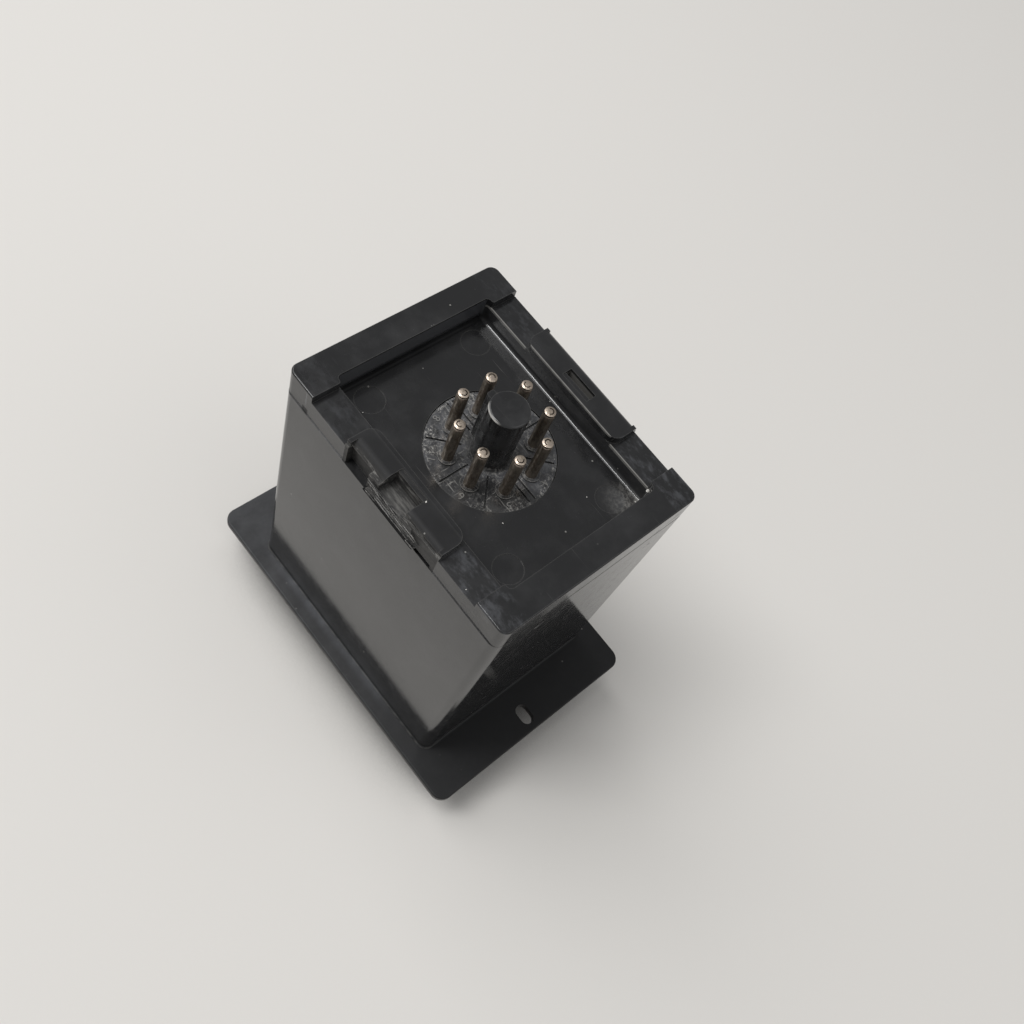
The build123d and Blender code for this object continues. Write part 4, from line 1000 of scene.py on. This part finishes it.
class RELAY_OT_crumbs(bpy.types.Operator):
    """Scatter the pale crumbs that lie on the cap"""

    bl_idname = "relay.crumbs"
    bl_label = "Scatter the crumbs"

    def execute(self, context):
        colours = context.scene.relay_colours
        material = plastic("crumb_white", tone(colours.dust, 1.9), 0.6).material
        for number, (along, across, level, size) in enumerate(CRUMBS, 1):
            clear_selection()
            bpy.ops.mesh.primitive_ico_sphere_add(
                subdivisions=2, radius=size / 2 * MM, scale=CRUMB_SHAPE,
                location=(along * MM, across * MM, (level + CRUMB_LIFT * size) * MM),
                rotation=(0, 0, number * CRUMB_TURN))
            bpy.ops.object.mode_set(mode="EDIT")
            bpy.ops.mesh.select_all(action="SELECT")
            bpy.ops.transform.vertex_random(offset=CRUMB_STRAY * size * MM, seed=number)
            close_up()
            settle(f"crumb_{number}", material, angle=20)
        return {"FINISHED"}


# Lamps: name, direction from the relay, distance, width and length in metres, and watts
LAMPS = (
    ("window", (-0.62, -0.12, 0.8), 1.6, 1.2, 1.2, 11.5),
    ("strip_light", (-0.27, -0.33, 0.88), 1.4, 0.3, 0.8, 9.0),
    ("fill", (0.6, 0.25, 0.76), 1.8, 1.4, 1.4, 3.6),
)
LAMP_TARGET = (0, 0, 35 * MM)
SKY_COLOUR = (0.98, 0.99, 1.0, 1.0)
SKY_STRENGTH = 0.36
CONTACT_REACH = 30 * MM  # how far from the part the floor darkens

# The photo's camera, worked out from edges of the case that are square to each other:
# its place, its right, up and back, and its lens for a sensor 36 mm wide
CAMERA_PLACE = (51.8 * MM, -94.1 * MM, 232.5 * MM)
CAMERA_AXES = ((0.6249, 0.7393, 0.2509), (-0.7527, 0.4852, 0.4450), (0.2073, -0.4669, 0.8597))
SENSOR_WIDTH = 36.0
LENS = 36.67


def soft_lamp(name, direction, distance, width, length, power):
    """A rectangular lamp that faces the relay, its length in the plane of the Y axis."""
    target = Vector(LAMP_TARGET)
    place = target + Vector(direction).normalized() * distance
    clear_selection()
    bpy.ops.object.light_add(type="AREA", location=place)
    lamp = bpy.context.object
    lamp.name = name
    lamp.data.shape = "RECTANGLE"
    lamp.data.size = width
    lamp.data.size_y = length
    lamp.data.energy = power
    lamp.rotation_mode = "QUATERNION"
    lamp.rotation_quaternion = (target - place).to_track_quat("-Z", "Y")


class RELAY_OT_stage(bpy.types.Operator):
    """Set up the floor, the lamps, the surroundings and the camera"""

    bl_idname = "relay.stage"
    bl_label = "Set the stage"

    def execute(self, context):
        scene = context.scene
        clear_selection()
        bpy.ops.mesh.primitive_plane_add(size=scene.relay_sizes.floor_width,
                                         location=(0, 0, floor_level))
        floor = context.object
        floor.name = "floor"
        pale = Finish("floor_pale", scene.relay_colours.floor, 0.8)
        # Painted contact shadow: the floor's colour is darkened, down to a twentieth, where the
        # ambient occlusion node finds the part close by
        painted_shadow_ao = pale.node("ShaderNodeAmbientOcclusion", {"Distance": CONTACT_REACH}, samples=8)
        shade = pale.fade(painted_shadow_ao.outputs["AO"], 0.76, 0.2, 0.0, 0.85)
        pale.paint(tone(scene.relay_colours.floor, 0.05), shade)
        pale.relief(pale.clouds(1.5, 3), 0.05, 0.4)
        floor.data.materials.append(pale.material)

        for lamp in LAMPS:
            soft_lamp(*lamp)

        surroundings = bpy.data.worlds.new("surroundings")
        surroundings.use_nodes = True
        sky = surroundings.node_tree.nodes["Background"]
        sky.inputs["Color"].default_value = SKY_COLOUR
        sky.inputs["Strength"].default_value = SKY_STRENGTH
        scene.world = surroundings

        bpy.ops.object.camera_add(location=CAMERA_PLACE)
        camera = context.object
        camera.name = "camera"
        camera.rotation_mode = "QUATERNION"
        camera.rotation_quaternion = Matrix(CAMERA_AXES).transposed().to_quaternion()
        camera.data.sensor_width = SENSOR_WIDTH
        camera.data.lens = LENS
        camera.data.clip_start = 0.01
        camera.data.clip_end = 20.0
        scene.camera = camera
        scene.view_settings.view_transform = "Standard"
        return {"FINISHED"}


OPERATORS = (
    RELAY_OT_finish_case,
    RELAY_OT_finish_cap,
    RELAY_OT_finish_plug,
    RELAY_OT_finish_front,
    RELAY_OT_finish_works,
    RELAY_OT_solder_tips,
    RELAY_OT_pin_numbers,
    RELAY_OT_scale,
    RELAY_OT_pointer,
    RELAY_OT_torn_strips,
    RELAY_OT_crumbs,
    RELAY_OT_stage,
)


class RELAY_PT_steps(bpy.types.Panel):
    """The steps that finish the relay, in order"""

    bl_idname = "RELAY_PT_steps"
    bl_label = "Timer relay"
    bl_space_type = "VIEW_3D"
    bl_region_type = "UI"
    bl_category = "Relay"

    def draw(self, context):
        for step in OPERATORS:
            self.layout.operator(step.bl_idname)


CLASSES = (RelaySizes, RelayColours, *OPERATORS, RELAY_PT_steps)


def register():
    for item in CLASSES:
        bpy.utils.register_class(item)
    bpy.types.Scene.relay_sizes = PointerProperty(type=RelaySizes)
    bpy.types.Scene.relay_colours = PointerProperty(type=RelayColours)


def unregister():
    del bpy.types.Scene.relay_colours
    del bpy.types.Scene.relay_sizes
    for item in reversed(CLASSES):
        bpy.utils.unregister_class(item)


def main():
    """Runs every step in order."""
    register()
    for step in OPERATORS:
        group, name = step.bl_idname.split(".")
        getattr(getattr(bpy.ops, group), name)()


if __name__ == "__main__":
    main()
